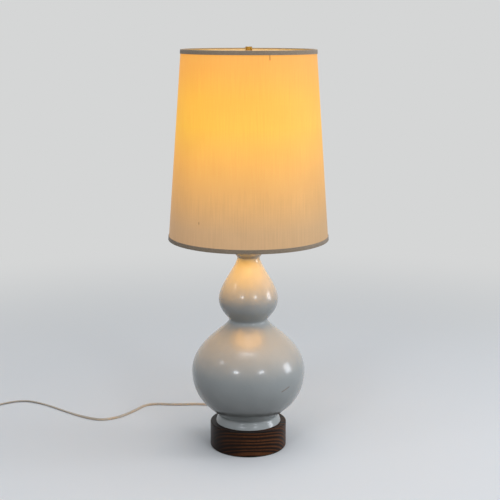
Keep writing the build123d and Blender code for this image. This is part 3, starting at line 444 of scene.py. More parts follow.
class ShadeSizes(bpy.types.PropertyGroup):
    """Silk, tape and glow of the shade."""

    silk_thickness: length_choice("Silk", "Thickness of the silk", 0.00028, 5)
    silk_lap: length_choice("Silk lap", "How far the silk laps over itself at the back", 0.010)
    silk_ripple: length_choice(
        "Silk ripple", "How far the stretched silk strays from a true cone", 0.0003, 5
    )
    tape_width: length_choice("Tape", "Width of tape seen outside, at each edge", 0.008)
    tape_thickness: length_choice("Tape thickness", "Thickness of the ribbed tape", 0.0006, 5)
    tape_flap: length_choice("Tape flap", "How far the tape turns in behind the edge", 0.0016)
    tape_lap: length_choice("Tape lap", "How far the tape laps over itself at the back", 0.009)
    rib_pitch: length_choice(
        "Rib pitch", "From one rib of the tape to the next; real grosgrain has about half of this", 0.0020
    )
    rib_depth: length_choice("Rib depth", "Height of the tape's ribs", 0.00016, 5)
    glow: strength_choice("Glow", "Strength of the light that comes through the silk", 1.0, 4.0)


class CordSizes(bpy.types.PropertyGroup):
    """The flat twin cord."""

    width: length_choice("Width", "Across both cores", 0.0053)
    thickness: length_choice("Thickness", "Across one core", 0.0027)
    web: length_choice("Web", "Thickness where the cores are joined", 0.0013)
    roll: angle_choice("Roll", "Turn of the free cord on to one core", -50)
    length: length_choice("Length", "From the base to the plug", 1.8)
    coil_radius: length_choice("Coil radius", "Of the outermost half turn", 0.0351)
    coil_pitch: length_choice("Coil pitch", "From one turn to the next", 0.0059)
    coil_layer: length_choice("Coil layer", "From the lower turns to the upper", 0.0037)


class Finishes(bpy.types.PropertyGroup):
    """Colours of the lamp's main finishes."""

    glaze: colour_choice("Glaze", "The fired glaze over pale clay", "#aeb3b2")
    silk: colour_choice("Silk", "Ivory silk, which lets most light through", "#a08658")
    tape: colour_choice("Tape", "Taupe grosgrain", "#a08e78")
    wood_light: colour_choice("Wood, light", "Pale part of a growth ring", "#744628")
    wood_dark: colour_choice("Wood, dark", "Dark part of a growth ring", "#160a06")
    brass: colour_choice("Brass", "Lacquered brass", "#a9823a")
    cord: colour_choice("Cord", "Clear cord jacket over its strands", "#bdb5a6")


class StageSizes(bpy.types.PropertyGroup):
    """Camera, floor and light of the stage."""

    camera_distance: length_choice("Camera distance", "In front of the lamp's axis", 2.080)
    camera_height: length_choice("Camera height", "Above the floor", 0.818)
    camera_pitch: angle_choice("Camera pitch", "How far the camera looks down", 11.5)
    camera_yaw: angle_choice("Camera yaw", "How far the camera looks to the right", 0.08)
    camera_roll: angle_choice("Camera roll", "Tilt of the picture", 0.1)
    camera_lens: bpy.props.FloatProperty(
        name="Lens", description="Focal length in millimetres on a 36 mm sensor", default=79.2
    )
    floor_radius: length_choice("Floor", "Radius of the floor", 20.0)
    ambient: strength_choice("Ambient", "Strength of the even light from all round", 0.54, 2.0)
    foot_light: bpy.props.FloatProperty(
        name="Foot light",
        description="Power of the warm light out of the shade's open foot",
        default=0.95,
        unit="POWER",
    )
    pale: colour_choice("Background", "Floor and background as the camera sees them", "#d5d6d6")


# ------------------------------------------------------------------ shapes worked out from the sizes
def gourd_outline(sizes):
    """Closed outline of the hollow body, as (radius, height) points, outside going up."""
    wall = sizes.wall
    foot_radius, shoulder_radius, shoulder_height, foot_round = sizes.foot
    stations = [tuple(s) for s in (sizes.groove, sizes.lower, sizes.waist, sizes.upper, sizes.neck)]
    steps = (44, 40, 26, 36)
    # The hollow under the foot ring, the hole for the rod and the floor over them.
    rod_hole, hollow, hollow_edge, hollow_depth, floor = 5.1 * MM, 53 * MM, 8 * MM, 5 * MM, 12 * MM
    # The lip's widest line and its drop from the flat top, which lies between two radii.
    lip, lip_drop, flat_in, flat_out = 27 * MM, 2.8 * MM, 18 * MM, 24 * MM
    # How far the curves' handles lie from their ends.
    flare, flare_in, shoulder_in, shoulder_up = 5.5 * MM, 1.2 * MM, 1.2 * MM, 3 * MM
    lip_out, lip_up, flat_over = 0.35 * MM, 1.6 * MM, 1.2 * MM

    def side(inward):
        """The four bulges between the groove and the neck."""
        line = []
        for (r0, h0, _, above), (r1, h1, below, _), count in zip(stations, stations[1:], steps):
            low, high = (r0 - inward, h0), (r1 - inward, h1)
            line += bezier(low, (low[0], h0 + above), (high[0], h1 - below), high, count)
        return line

    groove_r, groove_h = groove = stations[0][:2]
    neck_r, neck_h = neck = stations[-1][:2]
    top = LIP_TOP - LAMP_FOOT
    edge = top - lip_drop
    shoulder = (shoulder_radius, shoulder_height)
    line = [
        (rod_hole, hollow_depth),
        (hollow - hollow_edge, hollow_depth),
        (hollow, hollow_depth),
        (hollow, 0.0),
    ]
    line += [(foot_radius - foot_round, 0.0), (foot_radius - 0.3 * foot_round, 0.3 * foot_round)]
    line += [(foot_radius, foot_round), shoulder]
    leaving = (shoulder_radius - shoulder_in, shoulder_height + shoulder_up)
    line += bezier(shoulder, leaving, (groove_r, groove_h - shoulder_up), groove, 8)
    line += side(0.0)
    leaving, arriving = (neck_r, neck_h + stations[-1][3]), (lip - flare_in, edge - flare)
    line += bezier(neck, leaving, arriving, (lip, edge), 16)
    line += bezier(
        (lip, edge), (lip + lip_out, edge + lip_up), (flat_out + flat_over, top), (flat_out, top), 8
    )
    line += [(flat_in, top)]
    inner = neck_r - wall
    middle = (top + neck_h) / 2
    line += bezier((flat_in, top), (inner, top), (inner, middle), (inner, neck_h), 8)
    line += side(wall)[::-1][1:]
    low = groove_r - wall
    line += [(low, groove_h)]
    line += bezier((low, groove_h), (low, floor), (low, floor), (low - wall, floor), 4)
    line += [(rod_hole, floor), (rod_hole, hollow_depth)]
    return [(r, h + LAMP_FOOT) for r, h in line]


def rounded(corners, radius):
    """(radius, height) corners with each inner corner turned into a small curve."""
    steps, arc = 4, 0.56
    points = [np.array(c, float) for c in corners]
    line = [tuple(points[0])]
    for before, corner, after in zip(points, points[1:], points[2:]):
        leave = corner + (before - corner) / np.linalg.norm(before - corner) * radius
        arrive = corner + (after - corner) / np.linalg.norm(after - corner) * radius
        line.append(tuple(leave))
        line += bezier(
            leave, leave + (corner - leave) * arc, arrive + (corner - arrive) * arc, arrive, steps
        )
    return line + [tuple(points[-1])]


def standing(outline):
    """An outline as a line of points behind the axis, with each point's outward direction."""
    flat = np.array(outline, float)
    closed = np.allclose(flat[0], flat[-1])
    if closed:
        along = np.roll(flat[:-1], -1, 0) - np.roll(flat[:-1], 1, 0)
        along = np.vstack([along, along[:1]])
    else:
        along = np.gradient(flat, axis=0)
    along /= np.linalg.norm(along, axis=1, keepdims=True)
    out = np.column_stack([np.zeros(len(flat)), along[:, 1], -along[:, 0]])
    return [(0.0, r, z) for r, z in flat], out


def shade_radius(height, inward=0.0):
    """Radius of the silk's outer face at a height, less a distance inwards."""
    share = (height - SHADE_LOW) / (SHADE_HIGH - SHADE_LOW)
    return SHADE_WIDE + (SHADE_NARROW - SHADE_WIDE) * share - inward


# The cord's way over the floor, as the part's source has it, in mm: out of the base, down, left and on.
CORD_ROUTE = [
    (0.0, 75.2, 10.0), (0.0, 103.0, 10.0), (0.0, 134.0, 1.4),
    (-1.0, 160.0, 1.4), (-22.0, 196.0, 1.4), (-60.0, 219.0, 1.4),
    (-106.0, 228.0, 1.4), (-158.0, 223.0, 1.4), (-221.0, 230.0, 1.4),
    (-245.0, 184.0, 1.4), (-275.0, 142.0, 1.4), (-310.0, 125.0, 1.4),
    (-346.0, 141.0, 1.4), (-398.0, 184.0, 1.4), (-449.0, 229.0, 1.4),
    (-498.0, 253.0, 2.5), (-546.0, 227.0, 2.5), (-570.0, 188.0, 2.5),
]


def coil_points(sizes):
    """Control points of the coil's half turns: in on the lower layer, up, and out on the upper one."""
    last, end = Vector(CORD_ROUTE[-2]) * MM, Vector(CORD_ROUTE[-1]) * MM
    heading = (end - last).normalized()
    side = Vector((-heading.y, heading.x, 0.0))
    here = end + heading * sizes.width
    step = sizes.coil_pitch / 2
    inwards = [sizes.coil_radius - step * i for i in range(5)]
    points = []
    per_half = 12
    for turn, radius in enumerate(inwards + [sizes.coil_radius - 5 * step] + inwards[::-1]):
        rise = sizes.coil_layer if turn == 5 else 0.0
        middle = here - side * radius
        # A spline of this order runs inside its points, so they stand a little wide of the turn.
        wide = radius / math.cos(math.pi / per_half / 2)
        for k in range(per_half):
            share = (k + 0.5) / per_half
            angle = share * math.pi
            place = middle + side * (math.cos(angle) * wide) + heading * (math.sin(angle) * wide)
            points.append(place + Vector((0, 0, rise * (share - math.sin(math.tau * share) / math.tau))))
        here = here - side * (2 * radius) + Vector((0, 0, rise))
        side, heading = -side, -heading
    return points + [here + heading * length for length in (2 * MM, 9 * MM, 22 * MM)]


def smooth_run(points):
    """The smooth line through a route's control points, read from its spline."""
    data = bpy.data.curves.new("cord_route", "CURVE")
    data.dimensions = "3D"
    spline = data.splines.new("NURBS")
    spline.points.add(len(points) - 1)
    for control, point in zip(spline.points, points):
        control.co = (*point, 1.0)
    spline.order_u = 3
    spline.use_endpoint_u = True
    spline.resolution_u = 6
    drawn = stand_in_scene("cord_route", data)
    line = bpy.data.meshes.new_from_object(drawn.evaluated_get(bpy.context.evaluated_depsgraph_get()))
    run = [tuple(v.co) for v in line.vertices]
    bpy.data.objects.remove(drawn)
    bpy.data.meshes.remove(line)
    return run


def lift_rolled(run, roll, offset):
    """The run, lifted where the cord rolls on to one core, so that this core still lies on the floor."""
    lifted, travelled, before = [], 0.0, Vector(run[0])
    for place in map(Vector, run):
        travelled += (place - before).length
        before = place
        turn = roll
        for start, full in ROLL_SPANS:
            share = min(max((travelled - start) / (full - start), 0.0), 1.0)
            turn *= share * share * (3 - 2 * share)
        lifted.append(tuple(place + Vector((0, 0, offset * abs(math.sin(turn))))))
    return lifted


# ------------------------------------------------------------------ finishes
def celadon_glaze(colour):
    """Thick fired glaze over pale clay: soft lights, faint clouding and a few iron specks."""
    material, tree, shader = begin_finish(
        "Celadon glaze", "#aeb3b2", Roughness=0.24, IOR=1.5, Coat_Weight=0.35, Coat_Roughness=0.10
    )
    place = own_place(tree)
    # Clouding where the glaze pooled, about 60 mm across.
    cloud = noise(tree, place, 60, 3.0, Roughness=0.55)
    tone = remap(tree, cloud, 0.3, 0.7, 0.94, 1.05)
    body = vector(tree, "SCALE", list(colour)[:3], tone)
    # Iron specks under 1 mm, a few to a palm's width.
    grit = add(tree, "ShaderNodeTexVoronoi", {"Vector": place, "Scale": 1000 / 22, "Randomness": 1.0})
    near = remap(tree, grit, 0.012, 0.03, 1.0, 0.0)
    rare = add(tree, "ShaderNodeSeparateColor", {0: grit.outputs["Color"]})
    chosen = calc(tree, "GREATER_THAN", rare, 0.82)
    speck = calc(tree, "MULTIPLY", near, chosen)
    faint = calc(tree, "MULTIPLY", speck, 0.45)
    specked = mixed(tree, faint, body, linear("#5b4a3a"))
    # A slanting brown rub on the right of the lower gourd.
    rub = [((0.0640, -0.0888, 0.1385), (0.0776, -0.0784, 0.1448), 0.0045, 0.55)]
    rubbed = mark(tree, place, specked, "#86705a", rub)
    tree.links.new(rubbed, shader.inputs["Base Color"])
    # Turning rings and the glaze's orange peel, felt more than seen.
    height = add(tree, "ShaderNodeSeparateXYZ", {0: place}).outputs["Z"]
    level = add(tree, "ShaderNodeCombineXYZ", {"Z": height})
    rings = noise(tree, level, 9)
    peel = noise(tree, place, 5, 1.0)
    both = calc(tree, "MULTIPLY_ADD", rings, 0.6, peel)
    roughen(tree, shader, both, 0.12, 0.0006)
    return material


def oiled_rosewood(light, dark):
    """Dark oiled rosewood, turned: growth rings cut along the grain, fine pores, a low satin."""
    material, tree, shader = begin_finish(
        "Oiled rosewood", "#33190f", Roughness=0.5, IOR=1.5, Specular_IOR_Level=0.14
    )
    place = own_place(tree)
    # The tree's heart runs along X, before and below the block, so its rings show level on the front.
    sway = noise(tree, place, 120, 1.0)
    spread = vector(tree, "SUBTRACT", sway.outputs["Color"], (0.5, 0.5, 0.5))
    bent = vector(tree, "SCALE", spread, 0.018)
    moved = vector(tree, "ADD", place, bent)
    heart = add(
        tree,
        "ShaderNodeMapping",
        {"Vector": moved, "Location": (0.0, 0.12, 0.10), "Rotation": (0.0, 0.05, 0.0)},
    )
    level = vector(tree, "MULTIPLY", heart, (0.06, 1.0, 1.0))
    age = vector(tree, "LENGTH", level).outputs["Value"]
    years = calc(tree, "MULTIPLY", age, 1000 / 6.5)
    uneven = add(
        tree, "ShaderNodeTexNoise", {"W": years, "Scale": 0.45, "Detail": 1.0}, noise_dimensions="1D"
    )
    phase = calc(tree, "MULTIPLY_ADD", uneven.outputs[0], 1.6, years)
    cycle = calc(tree, "FRACT", phase)
    ring = fill_ramp(
        add(tree, "ShaderNodeValToRGB", {0: cycle}),
        {0.0: "#101010", 0.25: "#484848", 0.55: "#ffffff", 0.78: "#b8b8b8", 0.9: "#000000", 1.0: "#101010"},
    )
    # Pores: dark dashes 0.4 mm wide and some 14 mm long.
    fine = vector(tree, "MULTIPLY", place, (1000 / 14, 1000 / 0.9, 1000 / 0.9))
    pores = add(tree, "ShaderNodeTexNoise", {"Vector": fine, "Scale": 1.0, "Detail": 3.0, "Roughness": 0.6})
    pore = remap(tree, pores, 0.36, 0.56, 0.45, 1.0)
    # Painted shade: the wood is darker towards the left, where it stands in shadow, with a ragged edge.
    broad = noise(tree, place, 40)
    across = add(tree, "ShaderNodeSeparateXYZ", {0: place}).outputs["X"]
    ragged = calc(tree, "MULTIPLY_ADD", broad, 0.06, across)
    shade = remap(tree, ragged, -0.035, 0.03, 0.12, 1.0, smooth=True)
    mix = calc(tree, "MULTIPLY", ring.outputs["Color"], pore)
    share = calc(tree, "MULTIPLY", mix, shade)
    colour = mixed(tree, share, list(dark), list(light))
    tree.links.new(colour, shader.inputs["Base Color"])
    rough = remap(tree, share, 0.0, 1.0, 0.38, 0.55)
    tree.links.new(rough.outputs[0], shader.inputs["Roughness"])
    roughen(tree, shader, pores, 0.25, 0.0003)
    return material


def slub_silk(colour, glow):
    """Stretched slub silk with the light from inside painted on as a glow: warm where the bulb is near,
    cream at the foot, in streaks.
    """
    material, tree, shader = begin_finish(
        "Slub silk",
        "#a08658",
        Roughness=0.7,
        Sheen_Weight=0.08,
        Sheen_Roughness=0.4,
        Emission_Strength=glow,
    )
    weave = add(tree, "ShaderNodeUVMap", uv_map="Weave").outputs[0]
    wrap = add(tree, "ShaderNodeUVMap", uv_map="Wrap").outputs[0]
    there = own_place(tree)
    place = add(tree, "ShaderNodeSeparateXYZ", {0: there})
    # A pull under the top tape and a speck low at the left.
    flaws = [
        ((0.0368, -0.1214, 0.7680), (0.0372, -0.1222, 0.7600), 0.0034, 0.6),
        ((-0.0901, -0.1193, 0.4690), (-0.0901, -0.1196, 0.4670), 0.0036, 0.55),
    ]
    # Slubs: threads thicker for 20 to 60 mm, upright as the silk was cut, and fainter ones across.
    upright = vector(tree, "MULTIPLY", weave, (1000 / 2.6, 1000 / 70, 1.0))
    slubs = add(
        tree, "ShaderNodeTexNoise", {"Vector": upright, "Scale": 1.0, "Detail": 2.5, "Roughness": 0.6}
    )
    level = vector(tree, "MULTIPLY", weave, (1000 / 45, 1000 / 1.8, 1.0))
    wefts = add(tree, "ShaderNodeTexNoise", {"Vector": level, "Scale": 1.0, "Detail": 1.0})
    cloudy = noise(tree, weave, 60)
    streak = remap(tree, slubs, 0.25, 0.75, 0.95, 1.045)
    cross = remap(tree, wefts, 0.3, 0.7, 0.993, 1.007)
    patch = remap(tree, cloudy, 0.3, 0.7, 0.98, 1.02)
    threads = calc(tree, "MULTIPLY", streak, cross)
    cloth = calc(tree, "MULTIPLY", threads, patch)
    body = vector(tree, "SCALE", list(colour)[:3], cloth)
    flawed = mark(tree, there, body.outputs[0], "#3b2a18", flaws)
    tree.links.new(flawed, shader.inputs["Base Color"])
    # Painted glow: the bulb's light through the silk, laid on as emission from the shade's foot to its top:
    # hottest beside the globe.
    up = remap(tree, place.outputs["Z"], SHADE_LOW, SHADE_HIGH)
    light = fill_ramp(
        add(tree, "ShaderNodeValToRGB", {0: up}),
        {
            0.0: "#a08066",
            0.10: "#aa8666",
            0.25: "#c89358",
            0.44: "#e6a244",
            0.62: "#f0b12c",
            0.76: "#f0ac2a",
            0.90: "#eca034",
            1.0: "#e49a38",
        },
    )
    # Painted shadow: the harp's legs leave a soft shadow in the glow at either side.
    aside = calc(tree, "ABSOLUTE", place.outputs["X"])
    painted_leg_shadow = remap(tree, aside, 0.085, 0.145, 1.0, 0.88, smooth=True)
    # Painted shade: two layers where the silk laps at the back, in the last share of its way round, let
    # less of the glow through.
    lap_start = 0.9905
    turn = add(tree, "ShaderNodeSeparateXYZ", {0: wrap}).outputs["X"]
    single = calc(tree, "LESS_THAN", turn, lap_start)
    lap = remap(tree, single, 0.0, 1.0, 0.80, 1.0)
    painted_shade = calc(tree, "MULTIPLY", painted_leg_shadow, lap)
    through = calc(tree, "MULTIPLY", painted_shade, cloth)
    lit = vector(tree, "SCALE", light.outputs["Color"], through)
    shaded = mark(tree, there, lit.outputs[0], "#5a3a1c", flaws)
    tree.links.new(shaded, shader.inputs["Emission Color"])
    roughen(tree, shader, threads, 0.3, 0.0004)
    return material


def white_styrene(glow):
    """Thin white styrene sheet behind the silk, calendered smooth, with the bulb's light on it painted as a
    glow.
    """
    material, tree, shader = begin_finish(
        "White styrene", "#e0dac8", Roughness=0.45, Emission_Strength=0.42 * glow
    )
    place = own_place(tree)
    height = add(tree, "ShaderNodeSeparateXYZ", {0: place}).outputs["Z"]
    # Painted glow: it falls off up and down the cone; at this distance from the globe it is under half.
    half_way = 0.12
    off = calc(tree, "ADD", height, -GLOW_HEIGHT)
    scaled = calc(tree, "MULTIPLY", off, 1 / half_way)
    square = calc(tree, "MULTIPLY", scaled, scaled)
    spread = calc(tree, "ADD", square, 1.0)
    fall = calc(tree, "POWER", spread, -1.2)
    light = fill_ramp(
        add(tree, "ShaderNodeValToRGB", {0: fall}), {0.0: "#b49c70", 0.3: "#c8a468", 1.0: "#e8b45c"}
    )
    grain = noise(tree, place, 25)
    tone = remap(tree, grain, 0.0, 1.0, 0.95, 1.05)
    lit = vector(tree, "SCALE", light.outputs["Color"], tone)
    tree.links.new(lit.outputs[0], shader.inputs["Emission Color"])
    return material


def grosgrain(colour):
    """Ribbed taupe tape: matt, with thread sheen along its ribs."""
    material, tree, shader = begin_finish("Grosgrain tape", "#a08e78", Roughness=0.75, Sheen_Weight=0.3)
    place = own_place(tree)
    thread = noise(tree, place, 2.5)
    tint(tree, shader, colour, thread, 0.86, 1.1)
    roughen(tree, shader, thread, 0.3, 0.0002)
    return material


def metal(name, colour, roughness, size, depth=0.12):
    """A turned or drawn metal: its own colour, with fine tool marks and smears of a given size in mm."""
    material, tree, shader = begin_finish(name, "#808080", Metallic=1.0, Roughness=roughness)
    shader.inputs["Base Color"].default_value = colour
    place = own_place(tree)
    smear = noise(tree, place, size, 3.0)
    rough = remap(tree, smear, 0.3, 0.7, roughness * 0.75, roughness * 1.35)
    tree.links.new(rough.outputs[0], shader.inputs["Roughness"])
    tint(tree, shader, colour, smear, 0.88, 1.04)
    marks = vector(tree, "MULTIPLY", place, (1.0, 1.0, 12.0))
    lines = noise(tree, marks, 4.0)
    roughen(tree, shader, lines, depth, 0.0001)
    return material


def plain(name, colour, roughness, size, contrast=0.06, depth=0.1, **sockets):
    """A moulded, pressed or sprayed surface with a slight mottle of a given size in mm."""
    material, tree, shader = begin_finish(name, colour, Roughness=roughness, **sockets)
    place = own_place(tree)
    mottle = noise(tree, place, size, 3.0)
    tint(tree, shader, linear(colour), mottle, 1 - contrast, 1 + contrast)
    roughen(tree, shader, mottle, depth, 0.0002)
    return material


def coated_bulb_glass():
    """Blown bulb glass with a white powder coat inside, lit."""
    return plain(
        "Coated bulb glass",
        "#f5ead2",
        0.3,
        20,
        contrast=0.02,
        Emission_Color=linear("#ffdca6"),
        Emission_Strength=3.5,
    )


def clear_cord(colour):
    """Clear flexible PVC over two twisted strand cores, one bare copper and one tinned."""
    material, tree, shader = begin_finish(
        "Clear cord jacket", "#bdb5a6", Roughness=0.22, IOR=1.53, Coat_Weight=0.5, Coat_Roughness=0.08
    )
    across = add(tree, "ShaderNodeAttribute", attribute_name="across").outputs["Vector"]
    along = add(tree, "ShaderNodeAttribute", attribute_name="along").outputs["Fac"]
    parts = add(tree, "ShaderNodeSeparateXYZ", {0: across})
    # Strands laid round each core, drawn as slanted bands 3.5 mm apart, lighter and darker: the lay is
    # real, and its glints and the shade between strands are painted.
    slant = calc(tree, "MULTIPLY", parts.outputs["X"], 1 / 0.0006)
    twist = calc(tree, "MULTIPLY_ADD", along, math.tau / 0.0035, slant)
    strand = calc(tree, "SINE", twist)
    strand_glint_and_shade = remap(tree, strand, -1.0, 1.0, 0.78, 1.12)
    side = remap(tree, parts.outputs["X"], -0.0004, 0.0004)
    metals = mixed(tree, side, linear("#b39c80"), linear("#bab7ae"))
    wound = vector(tree, "SCALE", metals, strand_glint_and_shade)
    hazed = mixed(tree, 0.62, wound, list(colour))
    tree.links.new(hazed, shader.inputs["Base Color"])
    return material


# ------------------------------------------------------------------ operators
class LAMP_OT_gourd(bpy.types.Operator):
    """Throw the hollow double gourd from its stations and glaze it"""

    bl_idname = "lamp.gourd"
    bl_label = "Gourd body"

    def execute(self, context):
        sizes = context.scene.lamp_gourd
        line, out = standing(gourd_outline(sizes))
        piece = grow(
            "gourd",
            line,
            wrapped_tree(),
            {
                "Steps": 224,
                "Wobble": sizes.unevenness,
                "Wobble Scale": 1000 / 80,
                "Seed": 3.0,
                "Material": celadon_glaze(context.scene.lamp_finishes.glaze),
            },
            {"out": out},
        )
        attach(piece, "base")
        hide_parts("gourd_vase")
        return {"FINISHED"}


class LAMP_OT_base(bpy.types.Operator):
    """Finish the turned wood base, its felt, bushing and steel"""

    bl_idname = "lamp.base"
    bl_label = "Wood base"

    def execute(self, context):
        colours = context.scene.lamp_finishes
        coat_nodes(oiled_rosewood(colours.wood_light, colours.wood_dark), "wood_base")
        coat_nodes(
            plain("Wool felt", "#2c3a2e", 0.95, 1.2, contrast=0.25, depth=0.6, Sheen_Weight=0.5),
            "base_felt",
        )
        coat_nodes(plain("Black nylon", "#1b1a19", 0.5, 3), "cord_bushing")
        steel = metal("Zinc-plated steel", linear("#b4b2aa"), 0.32, 6)
        coat_nodes(
            steel,
            "base_washer",
            "base_nut",
            "threaded_rod",
            "socket_set_screw",
            "terminal_screws",
            "switch_shaft",
        )
        return {"FINISHED"}


class LAMP_OT_brasswork(bpy.types.Operator):
    """Finish the brass cap, column, harp and finial"""

    bl_idname = "lamp.brasswork"
    bl_label = "Brasswork"

    def execute(self, context):
        brass = metal("Lacquered brass", list(context.scene.lamp_finishes.brass), 0.26, 12, depth=0.012)
        coat_nodes(brass, "vase_cap", "brass_column", "lock_nut", "harp_saddle", "harp", "finial")
        coat_nodes(brass, "harp_sleeve_left", "harp_sleeve_right", "socket_cap")
        return {"FINISHED"}


class LAMP_OT_socket(bpy.types.Operator):
    """Finish the socket, its switch and its inside"""

    bl_idname = "lamp.socket"
    bl_label = "Socket"

    def execute(self, context):
        coat_nodes(metal("Aged brass", linear("#9c7a44"), 0.36, 9), "socket_shell", "centre_contact")
        coat_nodes(plain("Vulcanised card", "#b59a72", 0.85, 2, contrast=0.12), "socket_liner")
        coat_nodes(plain("Black phenolic", "#17120f", 0.28, 8), "socket_body", "switch_knob")
        coat_nodes(metal("Spun aluminium", linear("#c9c9c6"), 0.3, 5), "screw_shell", "bulb_base")
        coat_nodes(plain("PVC lead jacket", "#b8ae9c", 0.4, 5), "wire_leads", "inner_cord")
        return {"FINISHED"}


class LAMP_OT_bulb(bpy.types.Operator):
    """Light the coated bulb and finish its foot"""

    bl_idname = "lamp.bulb"
    bl_label = "Bulb"

    def execute(self, context):
        coat_nodes(coated_bulb_glass(), "bulb_glass")
        coat_nodes(plain("Black insulator glass", "#0f0e10", 0.15, 4), "bulb_tip")
        return {"FINISHED"}


class LAMP_OT_silk(bpy.types.Operator):
    """Stretch the silk round the shade, lapped at the back"""

    bl_idname = "lamp.silk"
    bl_label = "Silk cover"

    def execute(self, context):
        sizes = context.scene.lamp_shade
        rows, columns = 72, 420
        lap = sizes.silk_lap / SHADE_WIDE
        under = sizes.silk_thickness
        heights = [SHADE_LOW + (SHADE_HIGH - SHADE_LOW) * i / rows for i in range(rows + 1)]
        points, out = standing([(shade_radius(z, under), z) for z in heights])
        piece = grow(
            "silk_cover",
            points,
            wrapped_tree(),
            {
                "Steps": columns,
                "Lap": lap,
                "Lift": under,
                "Wobble": sizes.silk_ripple,
                "Wobble Scale": 1000 / 110,
                "Seed": 8.0,
                "Material": slub_silk(context.scene.lamp_finishes.silk, sizes.glow),
            },
            {"out": out},
            thickness=under,
        )
        # The silk is cut flat as a slice of a ring, so its threads run true in that flat piece.
        low, high = shade_radius(SHADE_LOW), shade_radius(SHADE_HIGH)
        slant = math.hypot(low - high, SHADE_HIGH - SHADE_LOW)
        sine = (low - high) / slant
        mesh = piece.data
        wrap = np.zeros(len(mesh.loops) * 2, np.float32)
        mesh.uv_layers["Wrap"].data.foreach_get("uv", wrap)
        around = wrap[::2] * (math.tau + lap) - math.pi
        corners = np.zeros(len(mesh.loops), np.int32)
        mesh.loops.foreach_get("vertex_index", corners)
        places = np.zeros(len(mesh.vertices) * 3, np.float32)
        mesh.vertices.foreach_get("co", places)
        places = places.reshape(-1, 3)[corners]
        reach = np.hypot(places[:, 0], places[:, 1]) / sine
        flat = np.column_stack([reach * np.sin(around * sine), reach * np.cos(around * sine)])
        mesh.uv_layers.new(name="Weave").data.foreach_set("uv", flat.astype(np.float32).ravel())
        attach(piece, "shade")
        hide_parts("shade_fabric")
        return {"FINISHED"}


class LAMP_OT_shade_frame(bpy.types.Operator):
    """Finish the styrene liner and the wire rings and arms of the shade"""

    bl_idname = "lamp.shade_frame"
    bl_label = "Shade liner and wires"

    def execute(self, context):
        coat_nodes(white_styrene(context.scene.lamp_shade.glow), "shade_liner")
        coat_nodes(plain("White coated wire", "#d9d2c2", 0.4, 6), "bottom_ring")
        coat_nodes(metal("Pale brassed wire", linear("#cdbd94"), 0.42, 10, depth=0.05), "shade_spider")
        return {"FINISHED"}


class LAMP_OT_trim(bpy.types.Operator):
    """Fold the ribbed tapes over both edges of the shade"""

    bl_idname = "lamp.trim"
    bl_label = "Tape trims"

    def execute(self, context):
        sizes = context.scene.lamp_shade
        tape = grosgrain(context.scene.lamp_finishes.tape)
        tree = wrapped_tree()
        # From the silk's outer face in to the flap's face, the radius of a fold, and a gap in the lap.
        inside, fold, lap_gap = 4.9 * MM, 0.9 * MM, 0.05 * MM
        steps_per_rib = 4
        for name, node, edge, way in (
            ("bottom_tape", "bottom_trim", SHADE_LOW, 1),
            ("top_tape", "top_trim", SHADE_HIGH, -1),
        ):
            far = edge + way * sizes.tape_width
            corners = [
                (shade_radius(edge, inside), edge + way * sizes.tape_flap),
                (shade_radius(edge, inside), edge),
                (shade_radius(edge, -TAPE_PROUD), edge),
                (shade_radius(far, -TAPE_PROUD), far),
            ]
            points, out = standing(rounded(corners[::way], fold))
            radius = shade_radius(edge, -TAPE_PROUD)
            ribs = round(math.tau * radius / sizes.rib_pitch)
            piece = grow(
                name,
                points,
                tree,
                {
                    "Steps": ribs * steps_per_rib,
                    "Lap": sizes.tape_lap / radius,
                    "Lift": sizes.tape_thickness + lap_gap,
                    "Ribs": ribs,
                    "Rib Depth": -sizes.rib_depth,
                    "Wobble": 0.0,
                    "Material": tape,
                },
                {"out": out},
                thickness=sizes.tape_thickness,
            )
            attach(piece, "shade")
            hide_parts(node)
        return {"FINISHED"}


class LAMP_OT_cord(bpy.types.Operator):
    """Lay the flat twin cord over the floor and wind up its rest"""

    bl_idname = "lamp.cord"
    bl_label = "Cord"

    def execute(self, context):
        sizes = context.scene.lamp_cord
        points = [Vector(p) * MM for p in CORD_ROUTE] + coil_points(sizes)
        core = sizes.thickness / 2
        offset = sizes.width / 2 - core
        run = lift_rolled(smooth_run(points), sizes.roll, offset)
        piece = grow(
            "cord",
            run,
            laid_cord_tree(),
            {
                "Core Radius": core,
                "Core Offset": offset,
                "Roll": sizes.roll,
                "Web Cut": 1 - sizes.web / sizes.thickness,
                "Web Reach": 0.55 * MM,
                "Section Points": 28,
                "Material": clear_cord(context.scene.lamp_finishes.cord),
            },
        )
        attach(piece, "base")
        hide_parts("power_cord", "cord_coil")
        return {"FINISHED"}


class LAMP_OT_plug(bpy.types.Operator):
    """Finish the plug, its blades and the coil's tie"""

    bl_idname = "lamp.plug"
    bl_label = "Plug and tie"

    def execute(self, context):
        coat_nodes(plain("Moulded PVC plug", "#b3ab9c", 0.38, 4), "plug_body")
        coat_nodes(metal("Plain brass blades", linear("#c2a468"), 0.3, 5), "plug_blades")
        coat_nodes(plain("Black tie band", "#161616", 0.6, 2), "coil_tie")
        return {"FINISHED"}


def hang_light(name, shape, place, size, power, colour):
    """A lamp of the stage, hidden from the camera and facing down."""
    light = bpy.data.lights.new(name, "AREA")
    light.shape = shape
    light.size, light.size_y = size
    light.energy = power
    light.color = linear(colour)[:3]
    holder = stand_in_scene(name, light)
    holder.location = place
    holder.visible_camera = False
    return holder


